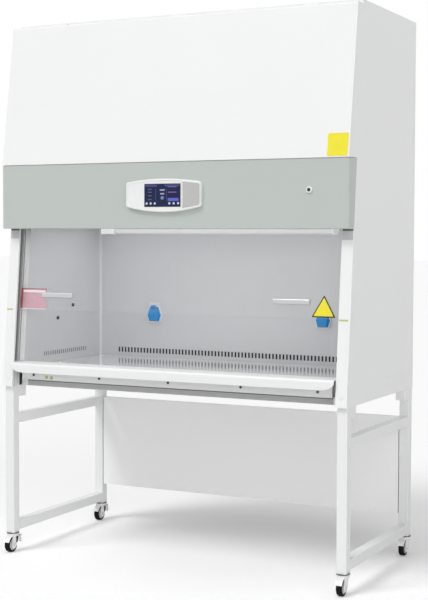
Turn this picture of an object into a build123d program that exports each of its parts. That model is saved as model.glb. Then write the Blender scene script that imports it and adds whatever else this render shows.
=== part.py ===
"""Class II biosafety cabinet on a castored stand, built as separate pieces.

Millimetres. X to the user's right, Y towards the rear, Z up. The origin is on
the floor, below the middle of the cabinet.
"""
from build123d import *
from math import hypot
import os

os.makedirs("parts", exist_ok=True)

# ------------------------------------------------------------ cabinet body
cabinet_width = 1500.0        # over the side panels
cabinet_depth = 754.0         # armrest lip to rear panel
cabinet_bottom = 687.0        # underside above the floor
cabinet_height = 1475.0       # underside to roof
sheet = 2.0                   # outer steel sheet
liner_sheet = 1.5             # stainless liner sheet
front_foot_setback = 9.7      # column foot behind the armrest lip
front_lean = 0.095            # lean-back of the front per mm of height
column_width = 45.0           # front flange of each side panel
panel_edge_radius = 1.8       # bend between side panel and front flange
rear_flange = 20.0            # return of the side panel at the rear
swage_height = 68.0           # pressed line above the underside
swage_width = 2.5             # pressed line, across
swage_depth = 0.8             # pressed line, into the sheet
seat_gap = 0.2                # between pieces that are screwed together

cabinet_top = cabinet_bottom + cabinet_height
half_width = cabinet_width / 2
front_lip = -cabinet_depth / 2
rear = cabinet_depth / 2
side_inner = half_width - sheet


def front_y(height):
    """Y of the leaning front plane at a height."""
    return front_lip + front_foot_setback + front_lean * (height - cabinet_bottom)


def leaning_slab(x_low, x_high, behind, thickness, z_low, z_high, mode=Mode.ADD):
    """A slab parallel to the leaning front plane, set behind it."""
    with BuildSketch(Plane.YZ.offset(x_low)) as profile:
        Polygon(
            (front_y(z_low) + behind, z_low),
            (front_y(z_low) + behind + thickness, z_low),
            (front_y(z_high) + behind + thickness, z_high),
            (front_y(z_high) + behind, z_high),
            align=None,
        )
    extrude(profile.sketch, amount=x_high - x_low, mode=mode)


def block(x_low, x_high, y_low, y_high, z_low, z_high, mode=Mode.ADD):
    """A rectangular block given by its six faces."""
    with BuildSketch(Plane.XY.offset(z_low)) as plan:
        with Locations(((x_low + x_high) / 2, (y_low + y_high) / 2)):
            Rectangle(x_high - x_low, y_high - y_low)
    extrude(plan.sketch, amount=z_high - z_low, mode=mode)


def front_plane(x, height, proud=0.0):
    """Plane on the leaning front, its normal pointing at the user."""
    length = hypot(1.0, front_lean)
    outward = (0.0, -1.0 / length, front_lean / length)
    origin = (
        x,
        front_y(height) + outward[1] * proud,
        height + outward[2] * proud,
    )
    return Plane(origin=origin, x_dir=(1, 0, 0), z_dir=outward)


with BuildPart() as right_side_panel:
    with BuildSketch(Plane.YZ.offset(side_inner)):
        Polygon(
            (front_y(cabinet_bottom), cabinet_bottom),
            (rear, cabinet_bottom),
            (rear, cabinet_top),
            (front_y(cabinet_top), cabinet_top),
            align=None,
        )
    extrude(amount=sheet)
    leaning_slab(half_width - column_width, half_width, 0, sheet, cabinet_bottom, cabinet_top)
    block(
        side_inner - rear_flange, side_inner,
        rear - 2 * sheet, rear - sheet,
        cabinet_bottom + sheet, cabinet_top - sheet,
    )
    outer_edges = right_side_panel.edges().group_by(Axis.X)[-1].sort_by(Axis.Y)
    fillet(outer_edges[0], panel_edge_radius)
    block(
        half_width - swage_depth, half_width,
        front_y(cabinet_bottom + swage_height) + 2 * column_width, rear,
        cabinet_bottom + swage_height, cabinet_bottom + swage_height + swage_width,
        mode=Mode.SUBTRACT,
    )

with BuildPart() as left_side_panel:
    mirror(right_side_panel.part, about=Plane.YZ)

# ------------------------------------------------------------ roof and rear
roof_flange = 32.0            # roof's down-turned front edge
exhaust_length = 900.0        # filter opening, along X
exhaust_depth = 300.0         # filter opening, along Y
exhaust_from_rear = 297.0     # middle of the filter opening to the rear panel
filter_flange = 20.0          # filter's rim around its opening
filter_height = 78.0          # depth of the filter pack
guard_overlap = 22.0          # guard beyond the filter's rim
guard_slot_width = 8.0        # slots in the exhaust guard
guard_slot_pitch = 24.0       # slot to slot
guard_slot_margin = 30.0      # plain rim around the slots

roof_front = front_y(cabinet_top) + seat_gap
roof_under = cabinet_top - sheet
exhaust_centre_y = rear - exhaust_from_rear
rim_length = exhaust_length + 2 * filter_flange
rim_depth = exhaust_depth + 2 * filter_flange

with BuildPart() as roof_panel:
    block(-side_inner, side_inner, roof_front + sheet, rear - sheet, roof_under, cabinet_top)
    flange_end = half_width - column_width - seat_gap
    block(-flange_end, flange_end, roof_front, roof_front + sheet, cabinet_top - roof_flange, cabinet_top)
    block(
        -rim_length / 2 - seat_gap, rim_length / 2 + seat_gap,
        exhaust_centre_y - rim_depth / 2 - seat_gap, exhaust_centre_y + rim_depth / 2 + seat_gap,
        roof_under, cabinet_top,
        mode=Mode.SUBTRACT,
    )
    for end in (-1, 1):
        block(
            min(end * side_inner, end * (half_width - column_width - 1)),
            max(end * side_inner, end * (half_width - column_width - 1)),
            roof_front, roof_front + 2 * sheet, roof_under, cabinet_top,
            mode=Mode.SUBTRACT,
        )

inlet_width = 62.0            # mains inlet plate
inlet_height = 46.0
inlet_depth = 10.0            # stands in front of the panel inside
inlet_from_side = 190.0
inlet_below_top = 140.0
inlet_recess = 7.0            # depth of the inlet's well
inlet_well_width = 28.0
inlet_well_height = 20.0
inlet_pin_width = 2.0
inlet_pin_spacing = 7.0

vent_rows = 2                 # rows of rear vent slots
vent_run = 330.0              # length of a row
vent_pitch = 22.0             # slot to slot
vent_height = 60.0            # slot length
vent_width = 6.0              # slot width
vent_drop = 90.0              # upper row below the roof
vent_from_side = 370.0        # middle of the rows

inlet_centre_x = half_width - inlet_from_side
vent_slots = int(vent_run // vent_pitch) + 1

with BuildPart() as rear_panel:
    block(-side_inner, side_inner, rear - sheet, rear, cabinet_bottom, cabinet_top)
    vent_middle = cabinet_top - vent_drop - vent_height
    with BuildSketch(Plane.XZ.offset(-rear)):
        with Locations((vent_from_side - half_width, vent_middle)):
            with GridLocations(vent_pitch, vent_height * 1.4, vent_slots, vent_rows):
                Rectangle(vent_width, vent_height)
    extrude(amount=sheet, mode=Mode.SUBTRACT)
    inlet_z = cabinet_top - inlet_below_top
    block(
        inlet_centre_x - inlet_well_width / 2 - 1, inlet_centre_x + inlet_well_width / 2 + 1,
        rear - sheet, rear,
        inlet_z - inlet_well_height / 2 - 1, inlet_z + inlet_well_height / 2 + 1,
        mode=Mode.SUBTRACT,
    )

with BuildPart() as power_inlet:
    block(
        inlet_centre_x - inlet_width / 2, inlet_centre_x + inlet_width / 2,
        rear - sheet - inlet_depth, rear - sheet,
        inlet_z - inlet_height / 2, inlet_z + inlet_height / 2,
    )
    block(
        inlet_centre_x - inlet_well_width / 2, inlet_centre_x + inlet_well_width / 2,
        rear - sheet - inlet_recess, rear - sheet,
        inlet_z - inlet_well_height / 2, inlet_z + inlet_well_height / 2,
        mode=Mode.SUBTRACT,
    )
    for step in (-1, 0, 1):
        pin_x = inlet_centre_x + step * inlet_pin_spacing
        block(
            pin_x - inlet_pin_width / 2, pin_x + inlet_pin_width / 2,
            rear - sheet - inlet_recess - 1, rear - sheet - 1,
            inlet_z - inlet_pin_width, inlet_z + inlet_pin_width,
        )

# ------------------------------------------------------------ sash guides
guide_width = 30.0            # block behind each front flange
guide_depth = 48.0            # from the flange to the liner's flange
guide_height = 1161.0         # from the base pan up
sash_behind = 32.0            # pane behind the front plane
sash_thickness = 6.0
sash_play = 0.6               # pane to each face of its groove
belt_groove_setback = 9.0     # groove of the counterweight belt
belt_groove = 16.0
groove_depth = 15.0           # into the guide

guide_inner = half_width - column_width
guide_foot = cabinet_bottom + sheet
guide_top = guide_foot + guide_height
sash_groove_behind = sash_behind - sash_play
sash_groove = sash_thickness + 2 * sash_play

with BuildPart() as right_guide:
    leaning_slab(guide_inner, guide_inner + guide_width, sheet, guide_depth, guide_foot, guide_top)
    for behind, across in ((sash_groove_behind, sash_groove), (belt_groove_setback, belt_groove)):
        leaning_slab(
            guide_inner, guide_inner + groove_depth, behind, across,
            guide_foot, guide_top, mode=Mode.SUBTRACT,
        )

with BuildPart() as left_guide:
    mirror(right_guide.part, about=Plane.YZ)

# ------------------------------------------------------------ base and armrest
beam_front_setback = 47.0     # beam behind the armrest lip
beam_depth = 38.0
beam_rise = 29.0              # beam above the underside
beam_recess = 23.0            # beam's end inside the armrest's end
armrest_rise = 100.0          # armrest above the underside
armrest_sheet = 2.0
armrest_lip = 39.0            # height of the front face
armrest_bend = 12.0           # radius of the front edge
corner_run = 58.0             # lip's rounded lower corners, along it
corner_rise = 26.0            # and up it
armrest_clearance = 2.0       # to each column
skirt_setback = 78.0          # lower skirt behind the armrest lip

beam_bottom = cabinet_bottom + beam_rise
armrest_top = cabinet_bottom + armrest_rise
beam_front = front_lip + beam_front_setback
beam_rear = beam_front + beam_depth
beam_top = armrest_top - armrest_sheet
beam_end = guide_inner - armrest_clearance
skirt_front = front_lip + skirt_setback
beam_half = beam_end - beam_recess

with BuildPart() as base_pan:
    block(-side_inner, side_inner, skirt_front, rear - sheet, cabinet_bottom, cabinet_bottom + sheet)
    block(-beam_end, beam_end, skirt_front, skirt_front + sheet, cabinet_bottom, beam_bottom)
    for end in (-1, 1):
        block(
            min(end * guide_inner, end * side_inner), max(end * guide_inner, end * side_inner),
            front_y(cabinet_bottom) + sheet + 2 * seat_gap, skirt_front,
            cabinet_bottom, cabinet_bottom + sheet,
        )

with BuildPart() as front_beam:
    block(-beam_half, beam_half, beam_front, beam_rear, beam_bottom, beam_top)
    block(
        -beam_half, beam_half,
        beam_front + sheet, beam_rear - sheet,
        beam_bottom + sheet, beam_top - sheet,
        mode=Mode.SUBTRACT,
    )

screw_count = 5               # fixings along the beam
screw_end_margin = 57.0
screw_head_radius = 5.0
screw_head_height = 4.0
screw_above_beam_foot = 20.0

screw_spacing = 2 * (beam_half - screw_end_margin) / (screw_count - 1)

with BuildPart() as beam_screws:
    with BuildSketch(Plane.XZ.offset(-beam_front)):
        with Locations((0, beam_bottom + screw_above_beam_foot)):
            with GridLocations(screw_spacing, 1, screw_count, 1):
                Circle(screw_head_radius)
    extrude(amount=screw_head_height)
    fillet(beam_screws.faces().group_by(Axis.Y)[0].edges(), screw_head_height * 0.4)

bend_centre = (front_lip + armrest_bend, armrest_top - armrest_bend)
inner_bend = armrest_bend - armrest_sheet
lip_foot = armrest_top - armrest_lip
diagonal = 0.5 ** 0.5

with BuildPart() as armrest:
    with BuildSketch(Plane.YZ.offset(-beam_end)):
        with BuildLine():
            Line((front_lip, lip_foot), (front_lip, bend_centre[1]))
            ThreePointArc(
                (front_lip, bend_centre[1]),
                (bend_centre[0] - diagonal * armrest_bend, bend_centre[1] + diagonal * armrest_bend),
                (bend_centre[0], armrest_top),
            )
            Polyline((bend_centre[0], armrest_top), (beam_rear, armrest_top), (beam_rear, beam_top))
            Line((beam_rear, beam_top), (bend_centre[0], beam_top))
            ThreePointArc(
                (bend_centre[0], beam_top),
                (bend_centre[0] - diagonal * inner_bend, bend_centre[1] + diagonal * inner_bend),
                (front_lip + armrest_sheet, bend_centre[1]),
            )
            Polyline(
                (front_lip + armrest_sheet, bend_centre[1]),
                (front_lip + armrest_sheet, lip_foot),
                (front_lip, lip_foot),
            )
        make_face()
    extrude(amount=2 * beam_end)
    with BuildSketch(Plane.XZ.offset(-front_lip)):
        for end in (-1, 1):
            with Locations((end * (beam_end - corner_run / 2), lip_foot + corner_rise / 2)):
                Rectangle(corner_run, corner_rise)
            with Locations((end * (beam_end - corner_run), lip_foot + corner_rise)):
                Ellipse(corner_run, corner_rise, mode=Mode.SUBTRACT)
    extrude(amount=-armrest_sheet, mode=Mode.SUBTRACT)

# ------------------------------------------------------------ work chamber
liner_setback = 65.0          # liner's side wall to the cabinet's side
chamber_rise = 83.0           # top of the work tray above the underside
chamber_height = 582.0        # work tray to the airflow diffuser
chamber_rear_gap = 96.0       # rear duct, liner to cabinet's rear
liner_flange_behind = 50.0    # liner's front flange behind the front plane
liner_flange_lap = 7.0        # flange behind the guide
slot_pitch = 16.0             # return air slots, one to the next
slot_width = 8.0
slot_height = 22.0
rear_slot_margin = 97.0       # plain wall beside the rear slots
rear_slot_above_floor = 15.0  # foot of the rear slots
side_slot_margin = 118.0      # plain wall behind the side slots
side_slot_above_floor = 28.0  # foot of the side slots
side_slot_width = 6.0
side_slot_height = 17.0
plug_bore_radius = 5.0        # service ports in the left wall
plug_low_ahead = 62.0         # lower port in front of the middle
plug_low_rise = 182.0         # and above the work tray
plug_high_behind = 56.0       # upper port behind the middle
plug_high_rise = 232.0
cove_radius = 12.0            # liner's rear corners
cove_web = 0.4                # thinnest edge of a cove

chamber_floor = cabinet_bottom + chamber_rise
chamber_ceiling = chamber_floor + chamber_height
liner_inner = half_width - liner_setback
liner_outer = liner_inner + liner_sheet
liner_rear = rear - chamber_rear_gap
liner_foot = cabinet_bottom + sheet
rear_slots = int(2 * (liner_inner - rear_slot_margin) // slot_pitch) + 1
side_slots = int(2 * (liner_rear - side_slot_margin) // slot_pitch) + 1
plug_low = (-plug_low_ahead, chamber_floor + plug_low_rise)
plug_high = (plug_high_behind, chamber_floor + plug_high_rise)


def liner_wall():
    """Right-hand liner wall: skin, front flange and return slots."""
    with BuildSketch(Plane.YZ.offset(liner_inner)) as skin:
        Polygon(
            (front_y(liner_foot) + liner_flange_behind, liner_foot),
            (liner_rear + liner_sheet, liner_foot),
            (liner_rear + liner_sheet, chamber_ceiling),
            (front_y(chamber_ceiling) + liner_flange_behind, chamber_ceiling),
            align=None,
        )
    extrude(skin.sketch, amount=liner_sheet)
    leaning_slab(
        liner_outer - liner_sheet / 3, guide_inner + liner_flange_lap,
        liner_flange_behind, liner_sheet, liner_foot, chamber_ceiling,
    )
    slot_z = chamber_floor + side_slot_above_floor + side_slot_height / 2
    with BuildSketch(Plane.YZ.offset(liner_inner)) as slots:
        with Locations((0, slot_z)):
            with GridLocations(slot_pitch, 1, side_slots, 1):
                Rectangle(side_slot_width, side_slot_height)
    extrude(slots.sketch, amount=liner_sheet, mode=Mode.SUBTRACT)
    block(
        liner_inner, guide_inner + liner_flange_lap, front_lip, beam_rear + seat_gap,
        liner_foot, armrest_top + seat_gap, mode=Mode.SUBTRACT,
    )


with BuildPart() as right_inner_wall:
    liner_wall()

with BuildPart(mode=Mode.PRIVATE) as liner_for_left:
    liner_wall()

with BuildPart() as left_inner_wall:
    mirror(liner_for_left.part, about=Plane.YZ)
    with BuildSketch(Plane.YZ.offset(-liner_outer)):
        with Locations(plug_low, plug_high):
            Circle(plug_bore_radius + seat_gap)
    extrude(amount=liner_sheet, mode=Mode.SUBTRACT)

with BuildPart() as inner_back_wall:
    block(-liner_inner, liner_inner, liner_rear, liner_rear + liner_sheet, liner_foot, chamber_ceiling)
    with BuildSketch(Plane.XZ.offset(-liner_rear)):
        with Locations((0, chamber_floor + rear_slot_above_floor + slot_height / 2)):
            with GridLocations(slot_pitch, 1, rear_slots, 1):
                Rectangle(slot_width, slot_height)
    extrude(amount=-liner_sheet, mode=Mode.SUBTRACT)

plug_head_radius = 7.5        # dark service plugs
plug_head = 5.0
plug_shank = 14.0
plug_round = 1.8

with BuildPart() as service_plugs:
    with BuildSketch(Plane.YZ.offset(-liner_inner)):
        with Locations(plug_low, plug_high):
            Circle(plug_head_radius)
    extrude(amount=plug_head)
    fillet(service_plugs.faces().group_by(Axis.X)[-1].edges(), plug_round)
    with BuildSketch(Plane.YZ.offset(-liner_inner)):
        with Locations(plug_low, plug_high):
            Circle(plug_bore_radius)
    extrude(amount=-plug_shank)

diffuser_pitch = 44.0         # long slots in the airflow diffuser
diffuser_slot = 14.0
diffuser_side_margin = 65.0   # plain border of the diffuser
diffuser_rear_margin = 55.0

diffuser_rows = int(2 * (liner_rear - diffuser_rear_margin) // diffuser_pitch) + 1
diffuser_slot_length = 2 * (liner_inner - diffuser_side_margin)

with BuildPart() as ceiling_diffuser:
    block(
        -liner_outer, liner_outer,
        front_y(chamber_ceiling) + liner_flange_behind + liner_sheet + seat_gap, liner_rear + liner_sheet,
        chamber_ceiling, chamber_ceiling + liner_sheet,
    )
    with BuildSketch(Plane.XY.offset(chamber_ceiling)):
        with GridLocations(1, diffuser_pitch, 1, diffuser_rows):
            Rectangle(diffuser_slot_length, diffuser_slot)
    extrude(amount=liner_sheet, mode=Mode.SUBTRACT)

tray_edge = 20.0              # turned-down edge of tray and grille
tray_play = 1.5               # tray to liner
grille_depth = 98.0
grille_tray_gap = 2.0
grille_margin = 42.0          # plain end of the grille
grille_slot_width = 12.0
grille_slot_length = 62.0
grille_pitch = 31.0
lift_hole_radius = 11.0       # finger holes for lifting the tray
lift_hole_inset = 60.0
tray_corner = 18.0            # tray's rear corners, inside the coves
grille_gap = 1.0              # beam to grille
rail_ledge = 18.0             # ledge the tray rests on
rail_thickness = 3.0

tray_foot = chamber_floor - tray_edge
grille_front = beam_rear + grille_gap
grille_rear = grille_front + grille_depth
tray_front = grille_rear + grille_tray_gap
tray_rear = liner_rear - tray_play
tray_end = liner_inner - tray_play
grille_slots = int(2 * (tray_end - grille_margin) // grille_pitch) + 1

with BuildPart() as tray_rails:
    for end in (-1, 1):
        block(
            min(end * liner_inner, end * (liner_inner - rail_ledge)),
            max(end * liner_inner, end * (liner_inner - rail_ledge)),
            grille_front, liner_rear, tray_foot - rail_thickness, tray_foot,
        )

with BuildPart() as corner_coves:
    for end in (-1, 1):
        with BuildSketch(Plane.XY.offset(tray_foot)) as cove:
            with Locations((end * (liner_inner - cove_radius / 2), liner_rear - cove_radius / 2)):
                Rectangle(cove_radius, cove_radius)
            with Locations((end * (liner_inner - cove_radius), liner_rear - cove_radius)):
                Circle(cove_radius - cove_web, mode=Mode.SUBTRACT)
        extrude(cove.sketch, amount=chamber_ceiling - tray_foot)

with BuildPart() as front_grille:
    block(-tray_end, tray_end, grille_front, grille_rear, tray_foot, chamber_floor)
    block(
        -tray_end + liner_sheet, tray_end - liner_sheet,
        grille_front + liner_sheet, grille_rear - liner_sheet,
        tray_foot, chamber_floor - liner_sheet,
        mode=Mode.SUBTRACT,
    )
    with BuildSketch(Plane.XY.offset(chamber_floor - liner_sheet)):
        with Locations((0, (grille_front + grille_rear) / 2)):
            with GridLocations(grille_pitch, 1, grille_slots, 1):
                Rectangle(grille_slot_width, grille_slot_length)
    extrude(amount=liner_sheet, mode=Mode.SUBTRACT)

with BuildPart() as work_tray:
    block(-tray_end, tray_end, tray_front, tray_rear, tray_foot, chamber_floor)
    fillet(work_tray.edges().filter_by(Axis.Z).group_by(Axis.Y)[-1], tray_corner)
    with BuildPart(mode=Mode.SUBTRACT) as tray_hollow:
        block(
            -tray_end + liner_sheet, tray_end - liner_sheet,
            tray_front + liner_sheet, tray_rear - liner_sheet,
            tray_foot, chamber_floor - liner_sheet,
        )
        fillet(tray_hollow.edges().filter_by(Axis.Z).group_by(Axis.Y)[-1], tray_corner - liner_sheet)
    with BuildSketch(Plane.XY.offset(chamber_floor - liner_sheet)):
        with Locations((0, (tray_front + tray_rear) / 2)):
            with GridLocations(
                2 * (tray_end - lift_hole_inset), tray_rear - tray_front - 2 * lift_hole_inset, 2, 2
            ):
                Circle(lift_hole_radius)
    extrude(amount=liner_sheet, mode=Mode.SUBTRACT)

# ------------------------------------------------------------ lamp
lamp_length = 1062.0
lamp_from_rear = 210.0        # middle of the lamp to the back wall
lamp_height = 44.0            # below the diffuser
lamp_tube_depth = 24.0        # diffusing cover, height
lamp_tube_width = 44.0
lamp_holder = 66.0            # left end fitting, along X
lamp_end_cap = 6.0            # right end cap, along X
lamp_body_width = 60.0
lamp_cover_round = 9.0
lamp_holder_round = 5.0

lamp_centre_y = liner_rear - lamp_from_rear
lamp_foot = chamber_ceiling - lamp_height
lamp_cover_top = lamp_foot + lamp_tube_depth
tube_left = lamp_holder + seat_gap - lamp_length / 2
tube_right = lamp_length / 2 - lamp_end_cap - seat_gap

with BuildPart() as lamp_batten:
    block(
        -lamp_length / 2, lamp_length / 2,
        lamp_centre_y - lamp_body_width / 2, lamp_centre_y + lamp_body_width / 2,
        lamp_cover_top, chamber_ceiling,
    )
    for low, high in (
        (-lamp_length / 2, -lamp_length / 2 + lamp_holder),
        (lamp_length / 2 - lamp_end_cap, lamp_length / 2),
    ):
        block(
            low, high, lamp_centre_y - lamp_body_width / 2, lamp_centre_y + lamp_body_width / 2,
            lamp_foot, chamber_ceiling,
        )
    fillet(lamp_batten.edges().filter_by(Axis.X).group_by(Axis.Z)[0], lamp_holder_round)

with BuildPart() as lamp_tube:
    with BuildSketch(Plane.YZ.offset(tube_left)):
        with Locations((lamp_centre_y, lamp_foot + lamp_tube_depth / 2)):
            Rectangle(lamp_tube_width, lamp_tube_depth)
    extrude(amount=tube_right - tube_left)
    fillet(lamp_tube.edges().filter_by(Axis.X).group_by(Axis.Z)[0], lamp_cover_round)

# ------------------------------------------------------------ filter plenum
plenum_sheet = 2.0
plenum_front_behind = 58.0    # behind the front plane
plenum_side_gap = 12.0        # to the side panels
plenum_rear_gap = 12.0        # to the rear panel, clear of the inlet

plenum_foot = chamber_ceiling + liner_sheet
plenum_end = side_inner - plenum_side_gap - guide_width
plenum_rear = rear - sheet - plenum_rear_gap

with BuildPart() as plenum_housing:
    for inset, mode in ((0.0, Mode.ADD), (plenum_sheet, Mode.SUBTRACT)):
        with BuildSketch(Plane.YZ.offset(-plenum_end + inset)):
            Polygon(
                (front_y(plenum_foot) + plenum_front_behind + inset, plenum_foot + inset),
                (plenum_rear - inset, plenum_foot + inset),
                (plenum_rear - inset, roof_under - inset),
                (front_y(roof_under) + plenum_front_behind + inset, roof_under - inset),
                align=None,
            )
        extrude(amount=2 * (plenum_end - inset), mode=mode)
    block(
        -exhaust_length / 2 - seat_gap, exhaust_length / 2 + seat_gap,
        exhaust_centre_y - exhaust_depth / 2 - seat_gap, exhaust_centre_y + exhaust_depth / 2 + seat_gap,
        roof_under - plenum_sheet, roof_under,
        mode=Mode.SUBTRACT,
    )

with BuildPart() as exhaust_filter:
    block(
        -exhaust_length / 2, exhaust_length / 2,
        exhaust_centre_y - exhaust_depth / 2, exhaust_centre_y + exhaust_depth / 2,
        cabinet_top - filter_height, cabinet_top,
    )
    block(
        -rim_length / 2, rim_length / 2,
        exhaust_centre_y - rim_depth / 2, exhaust_centre_y + rim_depth / 2,
        roof_under, cabinet_top,
    )

guard_sheet = 2.0

with BuildPart() as exhaust_guard:
    guard_length = rim_length + 2 * guard_overlap
    guard_depth = rim_depth + 2 * guard_overlap
    block(
        -guard_length / 2, guard_length / 2,
        exhaust_centre_y - guard_depth / 2, exhaust_centre_y + guard_depth / 2,
        cabinet_top, cabinet_top + guard_sheet,
    )
    guard_slots = int((exhaust_length - 2 * guard_slot_margin) // guard_slot_pitch)
    with BuildSketch(Plane.XY.offset(cabinet_top)):
        with Locations((0, exhaust_centre_y)):
            with GridLocations(guard_slot_pitch, 1, guard_slots, 1):
                Rectangle(guard_slot_width, exhaust_depth - 2 * guard_slot_margin)
    extrude(amount=guard_sheet, mode=Mode.SUBTRACT)

# ------------------------------------------------------------ control fascia
fascia_depth = 52.8           # foot, in front of the leaning plane
fascia_drop = 22.0            # foot below the diffuser
fascia_height = 254.0
fascia_edge_radius = 3.0      # bend along the foot
port_from_side = 153.0        # test port through the fascia
port_rise = 141.0             # port above the fascia's foot
port_bore_radius = 7.0
port_neck_radius = 9.0
port_ring_radius = 12.0
port_ring = 6.0               # stands in front of the fascia
port_neck = 14.0              # reaches behind the fascia's front face
port_round = 2.0

fascia_foot = chamber_ceiling - fascia_drop
fascia_top = fascia_foot + fascia_height
fascia_front = front_y(fascia_foot) - fascia_depth
port_x = half_width - port_from_side
port_z = fascia_foot + port_rise


def front_pan(low_front, low, high_front, high, gap):
    """Hollow sheet pan standing off the leaning front, open at the back."""
    for inset, behind, mode in ((0.0, -gap, Mode.ADD), (sheet, sheet, Mode.SUBTRACT)):
        with BuildSketch(Plane.YZ.offset(-half_width + inset)) as profile:
            Polygon(
                (low_front + inset, low + inset),
                (front_y(low) + behind, low + inset),
                (front_y(high) + behind, high - inset),
                (high_front + inset, high - inset),
                align=None,
            )
        extrude(profile.sketch, amount=2 * (half_width - inset), mode=mode)


with BuildPart() as control_fascia:
    front_pan(fascia_front, fascia_foot, fascia_front, fascia_top, seat_gap)
    fillet(control_fascia.edges().filter_by(Axis.X).group_by(Axis.Z)[0].sort_by(Axis.Y)[0], fascia_edge_radius)
    with BuildSketch(Plane.XZ.offset(-fascia_front)):
        with Locations((port_x, port_z)):
            Circle(port_neck_radius + seat_gap)
    extrude(amount=-2 * sheet, mode=Mode.SUBTRACT)

with BuildPart() as test_port:
    with BuildSketch(Plane.XZ.offset(-fascia_front)):
        with Locations((port_x, port_z)):
            Circle(port_ring_radius)
    extrude(amount=port_ring)
    fillet(test_port.faces().group_by(Axis.Y)[0].edges(), port_round)
    with BuildSketch(Plane.XZ.offset(-fascia_front)):
        with Locations((port_x, port_z)):
            Circle(port_neck_radius)
    extrude(amount=-port_neck)
    with BuildSketch(Plane.XZ.offset(-fascia_front - port_neck)):
        with Locations((port_x, port_z)):
            Circle(port_bore_radius)
    extrude(amount=port_neck + port_ring, mode=Mode.SUBTRACT)

# ------------------------------------------------------------ control pod
pod_half_length = 162.0
pod_end_rise = 84.0           # lower edge at the ends, above the fascia's foot
pod_end_height = 93.0         # pod at its ends
pod_foot_arch = 21.0          # sag of the lower edge
pod_top_arch = 13.0           # rise of the upper edge
pod_depth = 16.0              # stands in front of the fascia
pod_end_round = 10.0
pod_front_edge = 4.0
screen_length = 157.0
screen_height = 88.0
screen_offset = 1.5           # screen's middle left of the pod's
screen_rise = 83.0            # screen's foot above the fascia's foot
screen_recess = 3.0
screen_round = 3.0
screen_gap = 0.3
lip_inset = 7.0               # raised white lip around the pod's face
lip_height = 1.5

screen_middle = (-screen_offset, fascia_foot + screen_rise + screen_height / 2)
pod_end_foot = fascia_foot + pod_end_rise
pod_end_top = pod_end_foot + pod_end_height
pod_middle_foot = pod_end_foot - pod_foot_arch
pod_middle_top = pod_end_top + pod_top_arch
pod_front = fascia_front - pod_depth


def pod_outline(inset):
    """Arched outline of the pod, drawn inwards by an inset."""
    end = pod_half_length - inset
    foot = (pod_end_foot + inset, pod_middle_foot + inset)
    top = (pod_end_top - inset, pod_middle_top - inset)
    with BuildLine() as outline:
        ThreePointArc((-end, foot[0]), (0, foot[1]), (end, foot[0]))
        Line((end, foot[0]), (end, top[0]))
        ThreePointArc((end, top[0]), (0, top[1]), (-end, top[0]))
        Line((-end, top[0]), (-end, foot[0]))
    make_face(outline.edges())


with BuildPart() as control_pod:
    with BuildSketch(Plane.XZ.offset(-fascia_front)) as outer_face:
        pod_outline(0)
        fillet(outer_face.vertices(), pod_end_round)
    extrude(amount=pod_depth)
    fillet(control_pod.faces().group_by(Axis.Y)[0].edges(), pod_front_edge)
    with BuildSketch(Plane.XZ.offset(-pod_front)) as inner_face:
        pod_outline(lip_inset)
        fillet(inner_face.vertices(), pod_end_round - pod_front_edge)
    extrude(amount=-lip_height, mode=Mode.SUBTRACT)
    with BuildSketch(Plane.XZ.offset(-pod_front)):
        with Locations(screen_middle):
            Rectangle(screen_length + 2 * screen_gap, screen_height + 2 * screen_gap)
    extrude(amount=-screen_recess, mode=Mode.SUBTRACT)

with BuildPart() as pod_screen:
    with BuildSketch(Plane.XZ.offset(-pod_front - screen_recess)):
        with Locations(screen_middle):
            Rectangle(screen_length, screen_height)
    extrude(amount=screen_recess - lip_height / 2)
    fillet(pod_screen.edges().filter_by(Axis.Y), screen_round)

# ------------------------------------------------------------ sash
sash_end_gap = 2.0            # pane's end to the groove's floor
sash_opening = 214.0          # armrest to pane at the working height
sash_height = 589.0
handle_from_guide = 192.5     # handle's middle to the guide
handle_length = 146.0
handle_bar_height = 22.0
handle_bar_depth = 12.0
handle_stand_off = 14.0       # bar in front of the pane
handle_rise = 62.0            # above the pane's foot
handle_bar_round = 5.0
handle_post_radius = 6.0
handle_post_spacing = 112.0

sash_half_length = guide_inner + groove_depth - sash_end_gap
sash_foot = armrest_top + sash_opening
handle_z = sash_foot + handle_rise
handle_middle = guide_inner - handle_from_guide
pane_depth = sash_behind / hypot(1.0, front_lean)

with BuildPart() as sash_glass:
    leaning_slab(
        -sash_half_length, sash_half_length, sash_behind, sash_thickness,
        sash_foot, sash_foot + sash_height,
    )

with BuildPart() as sash_handles:
    with BuildSketch(front_plane(0, handle_z, handle_stand_off - pane_depth)):
        with GridLocations(2 * handle_middle, 1, 2, 1):
            Rectangle(handle_length, handle_bar_height)
    extrude(amount=handle_bar_depth)
    fillet(sash_handles.edges().filter_by(Axis.X), handle_bar_round)

with BuildPart() as handle_posts:
    with BuildSketch(front_plane(0, handle_z, -pane_depth)):
        for side in (-1, 1):
            with Locations((side * handle_middle, 0)):
                with GridLocations(handle_post_spacing, 1, 2, 1):
                    Circle(handle_post_radius)
    extrude(amount=handle_stand_off)

# ------------------------------------------------------------ service door
door_seam = 2.0               # fascia to door
door_drop = 15.0              # top edge below the roof
door_foot_depth = 80.2        # in front of the leaning plane, at the foot
door_top_depth = 52.1         # and at the top
door_gap = 0.5                # to the cabinet's front plane
door_edge_radius = 8.0        # rounded along the top
hinge_from_side = 200.0       # outer hinges from the cabinet's sides
hinge_ahead = 7.0             # hinge axis in front of the roof's edge
hinge_drop = 8.0              # hinge axis below the roof
hinge_pin_radius = 2.5
hinge_bore_clearance = 0.05
knuckle_radius = 5.0
knuckle_half = 10.0           # half length of the door's knuckle
knuckle_gap = 0.4
leaf_half = 32.0
leaf_thickness = 3.5
leaf_reach = 32.0             # door leaf in front of the hinge axis
leaf_sweep = 7.0              # full-width leaf starts in front of the axis
fixed_leaf_drop = 14.0        # fixed leaf's foot below the roof

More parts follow.
